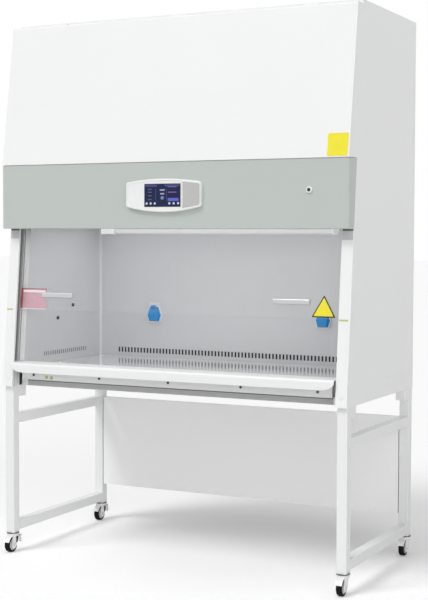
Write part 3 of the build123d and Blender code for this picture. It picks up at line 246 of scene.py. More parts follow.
paints = {
    "cabinetWhite": {"colour": (0.86, 0.865, 0.865), "roughness": 0.42, "peel": 0.05},
    "standWhite": {"colour": (0.83, 0.835, 0.835), "roughness": 0.38, "peel": 0.05},
    "bandGreen": {"colour": (0.505, 0.545, 0.52), "roughness": 0.40, "peel": 0.04},
    # painted light: a lighter copy of the stand's white for the back panel, which stands in shade under the
    # cabinet
    "panelLitWhite": {"colour": (0.93, 0.93, 0.93), "roughness": 0.45, "peel": 0.05},
    "armrestWhite": {"colour": (0.84, 0.845, 0.845), "roughness": 0.34, "peel": 0.04},
    "guardGrey": {"colour": (0.72, 0.73, 0.73), "roughness": 0.45, "peel": 0.05},
    "forkWhite": {"colour": (0.86, 0.86, 0.86), "roughness": 0.25, "peel": 0.02},
}
steels = {                    # lay: the pattern's scale along X, Y and Z, the brushing runs where it is 1
    "linerSteel": {"colour": (0.70, 0.705, 0.72), "metal": 0.25, "roughness": 0.42, "lay": (1, 60, 60)},
    "traySteel": {"colour": (0.96, 0.965, 0.97), "metal": 0.68, "roughness": 0.13, "lay": (1, 60, 60)},
    "guideMetal": {"colour": (0.90, 0.905, 0.905), "metal": 0.12, "roughness": 0.34, "lay": (60, 60, 1)},
    "handleSteel": {"colour": (0.60, 0.605, 0.61), "metal": 0.6, "roughness": 0.30, "lay": (1, 80, 80)},
    "raceSteel": {"colour": (0.16, 0.16, 0.17), "metal": 0.9, "roughness": 0.35, "lay": (40, 40, 1)},
    "plenumSheet": {"colour": (0.55, 0.56, 0.57), "metal": 0.8, "roughness": 0.5, "lay": (8, 8, 8)},
    "screwSteel": {"colour": (0.72, 0.72, 0.72), "metal": 0.9, "roughness": 0.22, "lay": (8, 8, 8)},
    "screwDark": {"colour": (0.10, 0.10, 0.105), "metal": 0.8, "roughness": 0.30, "lay": (8, 8, 8)},
}
plastics = {
    "podWhite": {"colour": (0.84, 0.855, 0.85), "roughness": 0.30, "grain": 0.02},
    "capWhite": {"colour": (0.84, 0.84, 0.84), "roughness": 0.32, "grain": 0.02},
    "portWhite": {"colour": (0.84, 0.85, 0.84), "roughness": 0.28, "grain": 0.02},
    "socketWhite": {"colour": (0.84, 0.85, 0.85), "roughness": 0.35, "grain": 0.03},
    "lidBlue": {"colour": (0.02, 0.29, 0.70), "roughness": 0.22, "grain": 0.02},
    "plugBlack": {"colour": (0.035, 0.035, 0.04), "roughness": 0.55, "grain": 0.08},
    "inletBlack": {"colour": (0.03, 0.03, 0.033), "roughness": 0.5, "grain": 0.08},
    "tyreBlack": {"colour": (0.006, 0.006, 0.007), "roughness": 0.6, "grain": 0.12, "shine": 0.12},
    "hubWhite": {"colour": (0.80, 0.80, 0.80), "roughness": 0.38, "grain": 0.04},
    "pedalGrey": {"colour": (0.80, 0.80, 0.80), "roughness": 0.4, "grain": 0.05},
}
coating = {"driftScale": 2.5, "peelScale": 700, "tones": (0.985, 1.01), "roughSpread": 0.06, "deep": 0.0003}
brushing = {
    "lineScale": 40, "smearScale": 3, "tones": (0.94, 1.04), "lineSpread": 0.10, "smearSpread": 0.06,
    "strength": 0.04, "deep": 0.0002,
}
moulding = {"driftScale": 30, "grainScale": 1500, "tones": (0.96, 1.04), "roughSpread": 0.08, "deep": 0.0002}


def paintFinish(name, spec, coat):       # powder coat: orange peel and a slight drift of tone
    finish = newFinish(name)
    drift = finish.grain(coat["driftScale"], 1.0)
    peel = finish.grain(coat["peelScale"])
    return finish.surface({
        "Base Color": finish.tones(drift, spec["colour"], coat["tones"]),
        "Roughness": finish.about(spec["roughness"], drift, coat["roughSpread"]),
        "Normal": finish.bump(peel, spec["peel"], coat["deep"]),
    })


def steelFinish(name, spec, brush):      # brushed sheet, the brushing along one axis
    finish = newFinish(name)
    lines = finish.grain(brush["lineScale"], 3.0, spec["lay"])
    smear = finish.grain(brush["smearScale"])
    spread = (brush["lineSpread"] + brush["smearSpread"]) / 2
    return finish.surface({
        "Base Color": finish.tones(lines, spec["colour"], brush["tones"]),
        "Metallic": spec["metal"],
        "Roughness": lines * brush["lineSpread"] + smear * brush["smearSpread"] + (spec["roughness"] - spread),
        "Normal": finish.bump(lines, brush["strength"], brush["deep"]),
    })


def plasticFinish(name, spec, mould):    # moulded plastic or rubber
    finish = newFinish(name)
    drift = finish.grain(mould["driftScale"])
    texture = finish.grain(mould["grainScale"])
    return finish.surface({
        "Base Color": finish.tones(drift, spec["colour"], mould["tones"]),
        "Roughness": finish.about(spec["roughness"], texture, mould["roughSpread"]),
        "Normal": finish.bump(texture, spec["grain"], mould["deep"]),
        "Specular IOR Level": spec.get("shine", 0.5),
    })


finishes = {}
for name, spec in paints.items():
    finishes[name] = paintFinish(name, spec, coating)
for name, spec in steels.items():
    finishes[name] = steelFinish(name, spec, brushing)
for name, spec in plastics.items():
    finishes[name] = plasticFinish(name, spec, moulding)

pleats = {
    "colour": (0.86, 0.86, 0.82), "pitch": 0.006, "fibreScale": 900, "tones": (0.62, 1.0),
    "roughness": 0.85, "roughSpread": 0.1, "strength": 0.6, "deep": 0.002,
}


def pleatFinish(name, spec):             # folded filter paper, the folds running front to back, with painted shade darkening each fold's valley
    finish = newFinish(name)
    fold = finish.maths("SINE", finish.along(0) * (2 * pi / spec["pitch"])) * 0.5 + 0.5
    fibre = finish.grain(spec["fibreScale"], 3.0)
    return finish.surface({
        # painted shade: darker in the valleys of the folds
        "Base Color": finish.tones(fold, spec["colour"], spec["tones"]),
        "Roughness": finish.about(spec["roughness"], fibre, spec["roughSpread"]),
        "Normal": finish.bump(fold, spec["strength"], spec["deep"]),
    })


clears = {                    # solid is how much of the light each stops
    "sashGlass": {
        "colour": (0.80, 0.84, 0.84, 1), "solid": 0.03, "spread": 0.02, "roughness": 0.04, "drift": (1.2, 1.0),
    },
    "noticeTint": {
        "colour": (0.80, 0.42, 0.50, 1), "solid": 0.42, "spread": 0.08, "roughness": 0.25, "drift": (60, 2.0),
    },
}


def clearFinish(name, spec):
    finish = newFinish(name)
    return finish.surface({
        "Base Color": spec["colour"],
        "Alpha": finish.about(spec["solid"], finish.grain(*spec["drift"]), spec["spread"]),
        "Roughness": spec["roughness"],
    })


opalCover = {"colour": (0.66, 0.66, 0.67, 1), "glow": (0.05, 0.16), "split": (1.314, 1.323), "roughness": 0.35}


def lampFinish(name, spec):              # painted light: the unlit cover glows, brighter above than along its rounded foot, as if lit from above
    finish = newFinish(name)
    level = finish.step(finish.along(2), spec["split"], spec["glow"])
    return finish.surface({
        "Base Color": spec["colour"],
        "Roughness": spec["roughness"],
        # painted light: glow that stands in for the light on the cover's top
        "Emission Color": finish.mixed(level, black, white),
        "Emission Strength": 1.0,
    })


screenGlass = {
    "colour": (0.006, 0.010, 0.035, 1), "glow": (0.008, 0.014, 0.06, 1),
    "strength": 0.6, "roughness": 0.22, "shine": 0.2,
}


def screenFinish(name, spec):            # the display where nothing is lit
    return newFinish(name).surface({
        "Base Color": spec["colour"],
        "Roughness": spec["roughness"],
        "Specular IOR Level": spec["shine"],
        "Emission Color": spec["glow"],
        "Emission Strength": spec["strength"],
    })


finishes["filterPaper"] = pleatFinish("filterPaper", pleats)
finishes["lampOpal"] = lampFinish("lampOpal", opalCover)
finishes["screenBlue"] = screenFinish("screenBlue", screenGlass)
for name, spec in clears.items():
    finishes[name] = clearFinish(name, spec)

wear = {
    "cabinetWhite": ("right_side_panel", "left_side_panel", "roof_panel", "rear_panel", "base_pan",
                     "front_beam", "service_door", "door_hinge_fixed", "door_hinge_moving"),
    "armrestWhite": ("armrest",),
    "bandGreen": ("control_fascia",),
    "standWhite": ("front_legs", "rear_legs", "upper_rails", "lower_rails", "stand_pads"),
    "panelLitWhite": ("stand_back_panel",),
    "guardGrey": ("exhaust_guard",),
    "linerSteel": ("right_inner_wall", "left_inner_wall", "inner_back_wall", "corner_coves", "ceiling_diffuser"),
    "traySteel": ("work_tray", "front_grille", "tray_rails"),
    "guideMetal": ("right_guide", "left_guide"),
    "handleSteel": ("sash_handles", "handle_posts"),
    "raceSteel": ("caster_mounts",),
    "plenumSheet": ("plenum_housing",),
    "screwDark": ("beam_screws",),
    "podWhite": ("control_pod",),
    "capWhite": ("column_caps",),
    "portWhite": ("test_port",),
    "socketWhite": ("socket_bases", "lamp_batten"),
    "lidBlue": ("left_socket_lid", "right_socket_lid"),
    "plugBlack": ("service_plugs",),
    "inletBlack": ("power_inlet",),
    "filterPaper": ("exhaust_filter",),
    "sashGlass": ("sash_glass",),
    "lampOpal": ("lamp_tube",),
    "screenBlue": ("pod_screen",),
    "forkWhite": tuple(name for name in nodes if name.endswith("_fork")),
    "tyreBlack": tuple(name for name in nodes if name.endswith("_tyre")),
    "hubWhite": tuple(name for name in nodes if name.endswith("_hub")),
    "pedalGrey": tuple(name for name in nodes if name.endswith("_pedal")),
}
for name, worn in wear.items():
    for part in worn:
        for slot in nodes[part].material_slots:
            slot.material = finishes[name]
print("finishes on", sum(len(worn) for worn in wear.values()), "nodes")

# pieces that only this file has

columnFront = {"z": 0.687, "y": -0.3673, "lean": 0.095}    # a leaning face: its foot, and how far back it goes
doorFront = {"z": 1.586, "y": -0.3621, "lean": 0.1451}
paneBehind = 0.032            # the pane's face behind the columns' front
podFace = -0.3735
screenFace = -0.37427


def faceOn(x, y, z, lean=0.0):    # matrix of a surface that faces the user, its Z axis outwards
    tip = atan(lean)
    return Matrix.Translation((x, y, z)) @ axes((1, 0, 0), (0, sin(tip), cos(tip)), (0, -cos(tip), sin(tip)))


def onFace(face, x, z, behind=0.0):
    return faceOn(x, face["y"] + face["lean"] * (z - face["z"]) + behind, z, face["lean"])


def roundOff(bm, edges, offset, segments):
    bmesh.ops.bevel(
        bm, geom=edges, offset=offset, offset_type="OFFSET", segments=segments,
        profile=0.5, affect="EDGES", material=-1,
    )


def standing(bm, thick, corners=None):    # edges across a plate's thickness, all of them or those of some corners
    corners = corners or bm.verts
    return [
        rim for rim in bm.edges
        if all(vert in corners for vert in rim.verts) and abs(rim.verts[0].co.z - rim.verts[1].co.z) > thick / 2
    ]


def roundFront(bm, thick, edge):  # soften the front rim of a plate or disc
    front = [rim for rim in bm.edges if all(vert.co.z > thick * 0.999 for vert in rim.verts)]
    roundOff(bm, front, edge, 3)


def plateMesh(width, height, thick, corner=0.0, edge=0.0):
    bm = bmesh.new()
    size = Matrix.Diagonal((width, height, thick, 1))
    bmesh.ops.create_cube(bm, size=1, matrix=Matrix.Translation((0, 0, thick / 2)) @ size)
    if corner:
        roundOff(bm, standing(bm, thick), corner, 5)
    if edge:
        roundFront(bm, thick, edge)
    return bm


def taperMesh(size, end, squeeze, slide, corner, segments, edge):    # a plate with one end changed and rounded
    bm = plateMesh(*size)
    moved = [vert for vert in bm.verts if vert.co.dot(Vector(end)) > 0]
    bmesh.ops.scale(bm, vec=squeeze, verts=moved)
    bmesh.ops.translate(bm, vec=slide, verts=moved)
    roundOff(bm, standing(bm, size[2], moved), corner, segments)
    roundFront(bm, size[2], edge)
    return bm


recessShare = {"rim": 0.4, "wall": 0.06}  # a recess in a disc, as shares of its radius


def discMesh(radius, thick, sides, edge=0.0, recess=0.0):
    bm = bmesh.new()
    bmesh.ops.create_cone(
        bm, cap_ends=True, segments=sides, radius1=radius, radius2=radius, depth=thick,
        matrix=Matrix.Translation((0, 0, thick / 2)),
    )
    if edge:
        roundFront(bm, thick, edge)
    if recess:
        cap = [face for face in bm.faces if face.calc_center_median().z > thick * 0.999]
        bmesh.ops.inset_individual(bm, faces=cap, thickness=radius * recessShare["rim"], depth=0)
        bmesh.ops.inset_individual(bm, faces=cap, thickness=radius * recessShare["wall"], depth=-recess)
    return bm


def gather(parts):                # several meshes, each at its place, as one
    whole = bmesh.new()
    for bm, place in parts:
        bmesh.ops.transform(bm, matrix=place, verts=bm.verts)
        mesh = bpy.data.meshes.new("part")
        bm.to_mesh(mesh)
        bm.free()
        whole.from_mesh(mesh)
        bpy.data.meshes.remove(mesh)
    return whole


def makePiece(name, parts, finish, body="cabinet", smooth=False):
    finishPiece(name, gather(parts), finishes[finish], body, smooth)


def columnPlates(spec, z, height):        # a plate across the front of either column
    return [
        (plateMesh(high - low, height, spec["thick"], edge=spec["edge"]), onFace(columnFront, (low + high) / 2, z))
        for low, high in spec["spans"]
    ]


smallFinishes = {
    "markGreen": {"colour": (0.50, 0.56, 0.17), "roughness": 0.45, "grain": 0.02},
    "signYellow": {"colour": (0.86, 0.76, 0.03), "roughness": 0.35, "grain": 0.02},
    "signBlack": {"colour": (0.02, 0.02, 0.018), "roughness": 0.4, "grain": 0.02},
    "noticeRed": {"colour": (0.42, 0.05, 0.08), "roughness": 0.35, "grain": 0.02},
    "noticeWhite": {"colour": (0.80, 0.79, 0.79), "roughness": 0.35, "grain": 0.02},
    "wingGrey": {"colour": (0.50, 0.50, 0.49), "roughness": 0.42, "grain": 0.03},
    "stripCream": {"colour": (0.80, 0.79, 0.74), "roughness": 0.3, "grain": 0.02},
    "bezelBlack": {"colour": (0.012, 0.013, 0.03), "roughness": 0.2, "grain": 0.0},
    # painted shade: the dark of the depth behind the return slots
    "slotShadeDark": {"colour": (0.035, 0.035, 0.037), "roughness": 0.8, "grain": 0.1},
    # painted shade: dark for the shadow under the front beam and under the control fascia
    "sealShadeDark": {"colour": (0.16, 0.16, 0.16), "roughness": 0.7, "grain": 0.08},
    # painted shade: grey for the shadow in the guides' grooves
    "grooveShadeGrey": {"colour": (0.24, 0.24, 0.24), "roughness": 0.7, "grain": 0.08},
    "trimWhite": {"colour": (0.88, 0.88, 0.88), "roughness": 0.35, "grain": 0.02},
    # painted shade: grey for the fascia's shadow on the columns
    "padShadeGrey": {"colour": (0.58, 0.58, 0.58), "roughness": 0.75, "grain": 0.10},
    # painted shade: grey for the shadow under the front beam
    "kickShadeGrey": {"colour": (0.43, 0.435, 0.435), "roughness": 0.5, "grain": 0.03},
    "gasketPale": {"colour": (0.66, 0.67, 0.665), "roughness": 0.6, "grain": 0.06},
}
for name, spec in smallFinishes.items():
    finishes[name] = plasticFinish(name, spec, moulding)

# height marks on the columns

marks = {
    "spans": ((-0.7475, -0.720), (0.7075, 0.7415)),
    "z": 1.0005, "height": 0.0062, "thick": 0.0006, "edge": 0.0002,
}
makePiece("heightMarks", columnPlates(marks, marks["z"], marks["height"]), "markGreen")

# square plate on the service door

square = {"middle": (0.7048, 1.6315), "size": (0.079, 0.083, 0.0008), "corner": 0.005, "edge": 0.0002}
makePiece("doorPlate", [
    (plateMesh(*square["size"], square["corner"], square["edge"]), onFace(doorFront, *square["middle"])),
], "signYellow", "service_door")

# triangular plate on the pane, a yellow one on a larger black one

triangle = {"middle": (0.6335, 1.0337), "reach": 0.0545, "border": 0.0088, "corner": 0.004, "thick": 0.0006}


def triangleMesh(reach, thick, corner):
    bm = discMesh(reach, thick, 3)
    roundOff(bm, standing(bm, thick), corner, 4)
    return bm


def makeTriangle(spec):
    place = onFace(columnFront, *spec["middle"], paneBehind)
    for name, finish, reach, lift in (
        ("triangleRim", "signBlack", spec["reach"], 0.0),
        ("triangleFace", "signYellow", spec["reach"] - spec["border"], spec["thick"]),
    ):
        bm = triangleMesh(reach, spec["thick"], spec["corner"] * reach / spec["reach"])
        makePiece(name, [(bm, place @ Matrix.Translation((0, 0, lift)))], finish, "sash")


makeTriangle(triangle)

# tinted notice on the pane, without words

notice = {
    "left": -0.7025, "right": -0.581, "foot": 1.0065, "top": 1.0865, "corner": 0.002, "thick": 0.0006,
    "line": 0.0030,           # red line along the top, half as wide where it turns down at the right
    "turn": 0.3,              # share of the height that it turns down
    "column": 0.007,          # red column at the left
    "band": 0.009, "bandFoot": 1.0705, "hem": 0.0025, "hemDrop": 0.0030,
}


def makeNotice(spec):
    left, right, foot, top, line = (spec[key] for key in ("left", "right", "foot", "top", "line"))
    width, height = right - left, top - foot
    across, middle = (left + right) / 2, (foot + top) / 2
    onPane = Matrix.Translation((0, 0, spec["thick"]))

    def block(wide, high, x, z):         # printed on the notice's face
        return plateMesh(wide, high, spec["thick"] / 2), onFace(columnFront, x, z, paneBehind) @ onPane

    body = plateMesh(width, height, spec["thick"], spec["corner"])
    makePiece("noticeBody", [(body, onFace(columnFront, across, middle, paneBehind))], "noticeTint", "sash")
    makePiece("noticeLines", [
        block(width, line, across, top - line / 2),
        block(line / 2, height * spec["turn"], right - line / 4, top - height * spec["turn"] / 2),
        block(spec["column"], height, left + spec["column"] / 2, middle),
    ], "noticeRed", "sash")
    bandWidth = width - spec["column"] - 2 * line
    makePiece("noticeBands", [
        block(bandWidth, spec["band"], right - line - bandWidth / 2, spec["bandFoot"] + spec["band"] / 2),
        block(width, spec["hem"], across, foot - spec["hemDrop"]),
    ], "noticeWhite", "sash")


makeNotice(notice)

# coloured spots under the armrest

spots = {"middles": ((-0.561, 0.729), (-0.537, 0.7275)), "y": -0.330, "size": (0.0075, 0.0008, 20)}
makePiece("beamSpots", (
    (discMesh(*spots["size"]), faceOn(x, spots["y"], z)) for x, z in spots["middles"]
), "markGreen")
print("plates and marks placed")

# display and face of the control pod

page = {                      # blocks: x, z, width and height
    "pageIndigo": {
        "colour": (0.035, 0.035, 0.19),
        "blocks": ((-0.050, 1.4945, 0.052, 0.009), (0.041, 1.4945, 0.066, 0.008)),
    },
    "pageSlate": {
        "colour": (0.09, 0.10, 0.16),
        "blocks": (
            (-0.0557, 1.4799, 0.016, 0.0035), (-0.0557, 1.4690, 0.016, 0.0035),
            (-0.0557, 1.4553, 0.016, 0.0035), (-0.0557, 1.4411, 0.016, 0.0035),
            (-0.030, 1.459, 0.0012, 0.046), (0.0165, 1.459, 0.0012, 0.046),
        ),
    },
    "pagePale": {
        "colour": (0.36, 0.40, 0.60),
        "blocks": ((-0.0014, 1.4769, 0.021, 0.0055), (-0.0014, 1.4627, 0.017, 0.0055)),
    },
    "pagePurple": {"colour": (0.13, 0.09, 0.42), "blocks": ((0.0416, 1.4890, 0.038, 0.0035),)},
    "pageMagenta": {"colour": (0.34, 0.10, 0.42), "blocks": ((0.0416, 1.4683, 0.036, 0.003),)},
    "pageViolet": {"colour": (0.09, 0.11, 0.62), "blocks": ((0.0456, 1.4406, 0.046, 0.0115),)},
}
discs = {                     # middles: x and z
    "pageDial": {"colour": (0.20, 0.23, 0.42), "radius": 0.0068, "middles": ((-0.0014, 1.4472),)},
    "pageIcons": {
        "colour": (0.62, 0.66, 0.78), "radius": 0.0045,
        "middles": tuple((x, 1.4262) for x in (-0.0699, -0.0519, -0.0339, 0.0293, 0.0481, 0.0673)),
    },
}
lit = {
    "driftScale": 400, "tones": (0.85, 1.1), "colour": (0.02, 0.02, 0.03, 1), "roughness": 0.2, "strength": 0.85,
    "blockThick": 0.0003, "discThick": 0.0004, "sides": 20,
}


def litFinish(name, colour, spec):       # a lit part of the display
    finish = newFinish(name)
    return finish.surface({
        "Base Color": spec["colour"],
        "Roughness": spec["roughness"],
        "Emission Color": finish.tones(finish.grain(spec["driftScale"], 1.0), colour, spec["tones"]),
        "Emission Strength": spec["strength"],
    })


for name, spec in (page | discs).items():
    finishes[name] = litFinish(name, spec["colour"], lit)
for name, spec in page.items():
    makePiece(name, (
        (plateMesh(width, height, lit["blockThick"]), faceOn(x, screenFace, z))
        for x, z, width, height in spec["blocks"]
    ), name)
for name, spec in discs.items():
    makePiece(name, (
        (discMesh(spec["radius"], lit["discThick"], lit["sides"]), faceOn(x, screenFace, z))
        for x, z in spec["middles"]
    ), name)

bezel = {"middle": (-0.0015, 1.457), "size": (0.1566, 0.0876, 0.0004), "line": 0.0035}


def bezelMesh(spec):          # a flat frame
    bm = plateMesh(*spec["size"])
    both = [face for face in bm.faces if abs(face.normal.z) > 0.9]
    bmesh.ops.inset_individual(bm, faces=both, thickness=spec["line"], depth=0)
    bmesh.ops.bridge_loops(bm, edges=[rim for face in both for rim in face.edges])
    bmesh.ops.delete(bm, geom=both, context="FACES_ONLY")
    return bm


bezelX, bezelZ = bezel["middle"]
makePiece("screenBezel", [(bezelMesh(bezel), faceOn(bezelX, screenFace, bezelZ))], "bezelBlack")

wing = {                      # grey panel that closes the pod's right end, narrower to the right
    "left": 0.0865, "right": 0.1592,
    "foot": (1.4090, 1.4190), "top": (1.5065, 1.5010),    # each at the left and right end
    "corner": 0.008, "thick": 0.0019, "edge": 0.0006,
}
strip = {"x": 0.0815, "width": 0.0035, "foot": 1.410, "top": 1.505, "thick": 0.0010, "corner": 0.001}


def wingMesh(spec):
    low, high = spec["foot"], spec["top"]
    squeeze = (high[1] - low[1]) / (high[0] - low[0])
    rise = (high[1] + low[1]) / 2 - (high[0] + low[0]) / 2
    size = (spec["right"] - spec["left"], high[0] - low[0], spec["thick"])
    return taperMesh(size, (1, 0, 0), (1, squeeze, 1), (0, rise, 0), spec["corner"], 6, spec["edge"])


makePiece("podWing", [(
    wingMesh(wing), faceOn((wing["left"] + wing["right"]) / 2, podFace, (wing["foot"][0] + wing["top"][0]) / 2),
)], "wingGrey")
makePiece("podStrip", [(
    plateMesh(strip["width"], strip["top"] - strip["foot"], strip["thick"], strip["corner"]),
    faceOn(strip["x"], podFace, (strip["foot"] + strip["top"]) / 2),
)], "stripCream")
print("control pod dressed")

# gasket in the seam under the service door

gasket = {"half": 0.746, "z": 1.585, "height": 0.0014, "y": -0.3575, "deep": 0.012}
makePiece("seamGasket", [(
    plateMesh(2 * gasket["half"], gasket["height"], gasket["deep"]),
    faceOn(0, gasket["y"] + gasket["deep"], gasket["z"]),
)], "gasketPale")

# dark sheets behind the return slots, painted shade of the depth behind them: length, height, distance from the
# middle of the cabinet, and z

slotShades = {"rear": (1.20, 0.034, 0.2895, 0.796), "side": (0.34, 0.028, 0.6925, 0.8065), "thick": 0.001}


def makeSlotShades(spec):
    length, height, y, z = spec["rear"]
    parts = [(plateMesh(length, height, spec["thick"]), faceOn(0, y, z))]
    length, height, x, z = spec["side"]
    for side in (-1, 1):
        turned = Matrix.Rotation(side * radians(-90), 4, "Z") @ faceOn(0, 0, 0)
        parts.append((plateMesh(length, height, spec["thick"]), Matrix.Translation((side * x, 0, z)) @ turned))
    makePiece("returnSlotShades", parts, "slotShadeDark")


makeSlotShades(slotShades)

# grey kick panel under the front beam and a dark seal over it, painted shade under the beam's overhang

kick = {
    "half": 0.672, "front": -0.299,
    "kickShadePanel": {"finish": "kickShadeGrey", "foot": 0.6885, "top": 0.7085, "thick": 0.0012, "edge": 0.0003},
    "kickShadeSeal": {"finish": "sealShadeDark", "foot": 0.7085, "top": 0.7155, "thick": 0.003, "edge": 0.001},
}
for name in ("kickShadePanel", "kickShadeSeal"):
    spec = kick[name]
    makePiece(name, [(
        plateMesh(2 * kick["half"], spec["top"] - spec["foot"], spec["thick"], edge=spec["edge"]),
        faceOn(0, kick["front"], (spec["foot"] + spec["top"]) / 2),
    )], spec["finish"])

# dark seals and grey pads at the top of the columns, painted shade under the control fascia: finish, foot and top

seals = {
    "spans": ((-0.7475, -0.7065), (0.7065, 0.7475)), "thick": 0.0012, "edge": 0.0004,
    "columnShadeSeals": ("sealShadeDark", 1.3225, 1.3292), "columnShadePads": ("padShadeGrey", 1.2900, 1.3223),
}
for name in ("columnShadeSeals", "columnShadePads"):
    finish, foot, top = seals[name]
    makePiece(name, columnPlates(seals, (foot + top) / 2, top - foot), finish)

# grey strips on the guides, ahead of the pane and behind it, and a grey sheet in the groove: painted shade in the
# guides' grooves

grooveShades = {
    "face": 0.7050, "behind": (0.028, 0.041), "deep": 0.0045, "thick": 0.0009, "edge": 0.0003,
    "foot": 0.790, "top": 1.328,
    "liner": (0.7122, 0.0135), "linerBehind": 0.025,   # grey sheet on the rear wall of the belt groove, painted shade: middle and width
    "trim": (0.6955, 0.0165), "trimBehind": 0.050,     # white strip on the wall's front flange
}


def makeGrooveShades(spec):
    tip = atan(columnFront["lean"])
    middle, height = (spec["foot"] + spec["top"]) / 2, (spec["top"] - spec["foot"]) / cos(tip)
    linerX, linerWidth = spec["liner"]
    trimX, trimWidth = spec["trim"]
    parts, trims = [], []
    for side in (-1, 1):
        inwards = axes((0, -side * cos(tip), side * sin(tip)), (0, sin(tip), cos(tip)), (-side, 0, 0))
        for behind in spec["behind"]:
            at = onFace(columnFront, side * spec["face"], middle, behind).translation
            shadeStrip = plateMesh(spec["deep"], height, spec["thick"], edge=spec["edge"])
            parts.append((shadeStrip, Matrix.Translation(at) @ inwards))
        liner = plateMesh(linerWidth, height, spec["thick"])
        parts.append((liner, onFace(columnFront, side * linerX, middle, spec["linerBehind"])))
        trim = plateMesh(trimWidth, height, spec["thick"], edge=spec["edge"])
        trims.append((trim, onFace(columnFront, side * trimX, middle, spec["trimBehind"])))
    makePiece("guideGrooveShades", parts, "grooveShadeGrey")
    makePiece("flangeTrims", trims, "trimWhite")


makeGrooveShades(grooveShades)

# black bung in the test port, painted shade of the port's opening

bung = {
    "x": 0.597, "z": 1.471, "face": -0.3662,
    "radius": 0.0066, "thick": 0.006, "sides": 32, "edge": 0.0012, "recess": 0.0016,
}
makePiece("portShadeBung", [(
    discMesh(bung["radius"], bung["thick"], bung["sides"], bung["edge"], bung["recess"]),
    faceOn(bung["x"], bung["face"] + bung["thick"], bung["z"]),
)], "plugBlack")
print("seals, strips and kick panel placed")

# caster forks

casters = {                   # x and y of each swivel's axis
    "front_left": (-0.728, -0.333), "front_right": (0.728, -0.333),
    "rear_left": (-0.728, 0.357), "rear_right": (0.728, 0.357),
}
axle = (-0.014, 0.032)        # y from the swivel's axis, and height
pedalPin = (0.030, 0.048)     # the same, on the left casters only
forkShape = {
    "inner": 0.0130,          # half the width between the cheeks
    "cheek": 0.0028, "edge": 0.0007,
    "boss": 0.0185, "foot": 0.0150, "root": (0.0195, 0.0697),    # half width and height of a cheek's two ends
    "bossRound": 0.92, "armRound": 0.9,                          # corners, as shares of the half width
    "crown": {"radius": 0.0238, "low": 0.0678, "high": 0.0766, "edge": 0.0015, "sides": 36},
    "hood": {"radii": (0.0345, 0.0368), "sweep": (20.6, 93.0), "steps": 14, "spare": 0.001},
    "arm": {"end": 0.0062, "height": 0.030, "drop": 0.003},      # carries the pedal's pin
    "bolt": {"radius": 0.0050, "sides": 20},
}


def cheekMesh(spec):          # tapers from the crown to a round boss at the axle
    half, top = spec["root"]
    size = (2 * half, top - spec["foot"], spec["cheek"])
    return taperMesh(
        size, (0, -1, 0), (spec["boss"] / half, 1, 1), (axle[0], 0, 0),
        spec["boss"] * spec["bossRound"], 7, spec["edge"],
    )


def armMesh(spec):
    arm = spec["arm"]
    size = (pedalPin[0] + arm["end"], arm["height"], spec["cheek"])
    squeeze = arm["end"] / (arm["height"] / 2)
    return taperMesh(
        size, (1, 0, 0), (1, squeeze, 1), (0, -arm["drop"], 0), arm["end"] * spec["armRound"], 6, spec["edge"],
    )


def hoodMesh(spec):           # a sheet bent over the wheel
    hood = spec["hood"]
    inner, outer = hood["radii"]
    start, end = (radians(part) for part in hood["sweep"])
    size = Matrix.Diagonal((2 * spec["inner"] + hood["spare"], outer - inner, 1, 1))
    bm = bmesh.new()
    bmesh.ops.create_grid(
        bm, x_segments=1, y_segments=1, size=0.5, matrix=Matrix.Translation((0, -(inner + outer) / 2, 0)) @ size,
    )
    bmesh.ops.rotate(bm, cent=(0, 0, 0), matrix=Matrix.Rotation(-start, 3, "X"), verts=bm.verts)
    bmesh.ops.spin(
        bm, geom=bm.verts[:] + bm.edges[:] + bm.faces[:], cent=(0, 0, 0), axis=(1, 0, 0),
        angle=start - end, steps=hood["steps"], use_merge=False,
    )
    bmesh.ops.recalc_face_normals(bm, faces=bm.faces)
    return bm


def makeFork(name, x, y, spec):
    crown, arm, bolt, inner = (spec[key] for key in ("crown", "arm", "bolt", "inner"))
    high = crown["high"] - crown["low"]
    atAxle = Matrix.Translation((x, y + axle[0], axle[1]))
    parts = [
        (discMesh(crown["radius"], high, crown["sides"], crown["edge"]), Matrix.Translation((x, y, crown["low"]))),
        (hoodMesh(spec), atAxle),
    ]
    for side in (-1, 1):
        sideways = axes((0, 1, 0), (0, 0, 1), (side, 0, 0))
        middle = (spec["root"][1] + spec["foot"]) / 2
        parts.append((cheekMesh(spec), Matrix.Translation((x + side * inner, y, middle)) @ sideways))
        if x < 0:
            reach = (pedalPin[0] + arm["end"]) / 2
            at = Matrix.Translation((x + side * inner, y + reach, pedalPin[1] + arm["drop"]))
            parts.append((armMesh(spec), at @ sideways))
    across = Matrix.Translation((x - inner, y + axle[0], axle[1])) @ Matrix.Rotation(radians(90), 4, "Y")
    parts.append((discMesh(bolt["radius"], 2 * inner, bolt["sides"]), across))
    whole = gather(parts)
    bmesh.ops.recalc_face_normals(whole, faces=whole.faces)
    piece = finishPiece(name + "_forkShell", whole, finishes["forkWhite"], name + "_swivel")
    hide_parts(name + "_fork")


for name, (x, y) in casters.items():
    makeFork(name, x, y, forkShape)
print("caster forks made")

# rims of the tray's finger holes

rims = {
    "x": 0.6235, "y": (-0.131, 0.2195), "z": 0.7702, "radius": 0.0122,
    "wire": 0.0012, "wireSides": 10, "steps": 40, "merge": 1e-6,
}


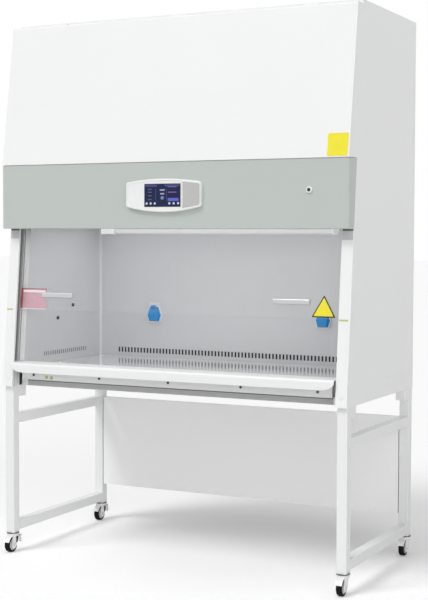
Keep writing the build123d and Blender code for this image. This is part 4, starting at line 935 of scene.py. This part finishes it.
def ringMesh(spec):
    bm = bmesh.new()
    upright = Matrix.Translation((spec["radius"], 0, 0)) @ Matrix.Rotation(radians(90), 4, "X")
    bmesh.ops.create_circle(bm, cap_ends=False, segments=spec["wireSides"], radius=spec["wire"], matrix=upright)
    bmesh.ops.spin(
        bm, geom=bm.verts[:] + bm.edges[:], cent=(0, 0, 0), axis=(0, 0, 1),
        angle=2 * pi, steps=spec["steps"], use_merge=True,
    )
    bmesh.ops.remove_doubles(bm, verts=bm.verts, dist=spec["merge"])
    bmesh.ops.recalc_face_normals(bm, faces=bm.faces)
    return bm


makePiece("holeRims", (
    (ringMesh(rims), Matrix.Translation((side * rims["x"], y, rims["z"]))) for side in (-1, 1) for y in rims["y"]
), "traySteel", "tray", smooth=True)

# screws round the rear panel and the exhaust guard

screws = {
    "radius": 0.0045, "thick": 0.0016, "sides": 18, "edge": 0.0004, "recess": 0.0009,
    "rearY": 0.377, "sideX": 0.732, "sideHeights": (0.72, 1.05, 1.40, 1.75, 2.13),
    "endHeights": (0.712, 2.145), "endX": (-0.40, 0.0, 0.40),
    "guardZ": 2.164, "guardMiddle": 0.080, "guardReach": (0.478, 0.178), "guardX": (-0.24, 0.0, 0.24),
}


def makeScrews(name, places, spec):
    size = (spec["radius"], spec["thick"], spec["sides"], spec["edge"], spec["recess"])
    makePiece(name, [(discMesh(*size), place) for place in places], "screwSteel")


def rearPlaces(spec):
    spread = [(side * spec["sideX"], z) for side in (-1, 1) for z in spec["sideHeights"]]
    spread += [(x, z) for x in spec["endX"] for z in spec["endHeights"]]
    return [Matrix.Rotation(pi, 4, "Z") @ faceOn(-x, -spec["rearY"], z) for x, z in spread]


def guardPlaces(spec):
    reachX, reachY = spec["guardReach"]
    rows = [side * reachY for side in (-1, 1)]
    spread = [(side * reachX, row) for side in (-1, 1) for row in rows]
    spread += [(x, row) for x in spec["guardX"] for row in rows]
    return [Matrix.Translation((x, spec["guardMiddle"] + row, spec["guardZ"])) for x, row in spread]


makeScrews("rearScrews", rearPlaces(screws), screws)
makeScrews("guardScrews", guardPlaces(screws), screws)

# axle nuts of the casters, and washers on the pedals' pins

nuts = {
    "out": 0.016, "thick": 0.0035, "edge": 0.0006,
    "axle": {"at": axle, "radius": 0.0062, "sides": 6}, "pin": {"at": pedalPin, "radius": 0.004, "sides": 16},
}


def makeNuts(name, x, y, spec):
    parts = []
    for side in (-1, 1):
        for kind in ("axle", "pin") if x < 0 else ("axle",):
            back, up = spec[kind]["at"]
            at = Matrix.Translation((x + side * spec["out"], y + back, up))
            nut = discMesh(spec[kind]["radius"], spec["thick"], spec[kind]["sides"], spec["edge"])
            parts.append((nut, at @ Matrix.Rotation(side * radians(90), 4, "Y")))
    makePiece(name + "_nuts", parts, "screwSteel", name + "_swivel")


for name, (x, y) in casters.items():
    makeNuts(name, x, y, nuts)
print("screws and nuts placed")
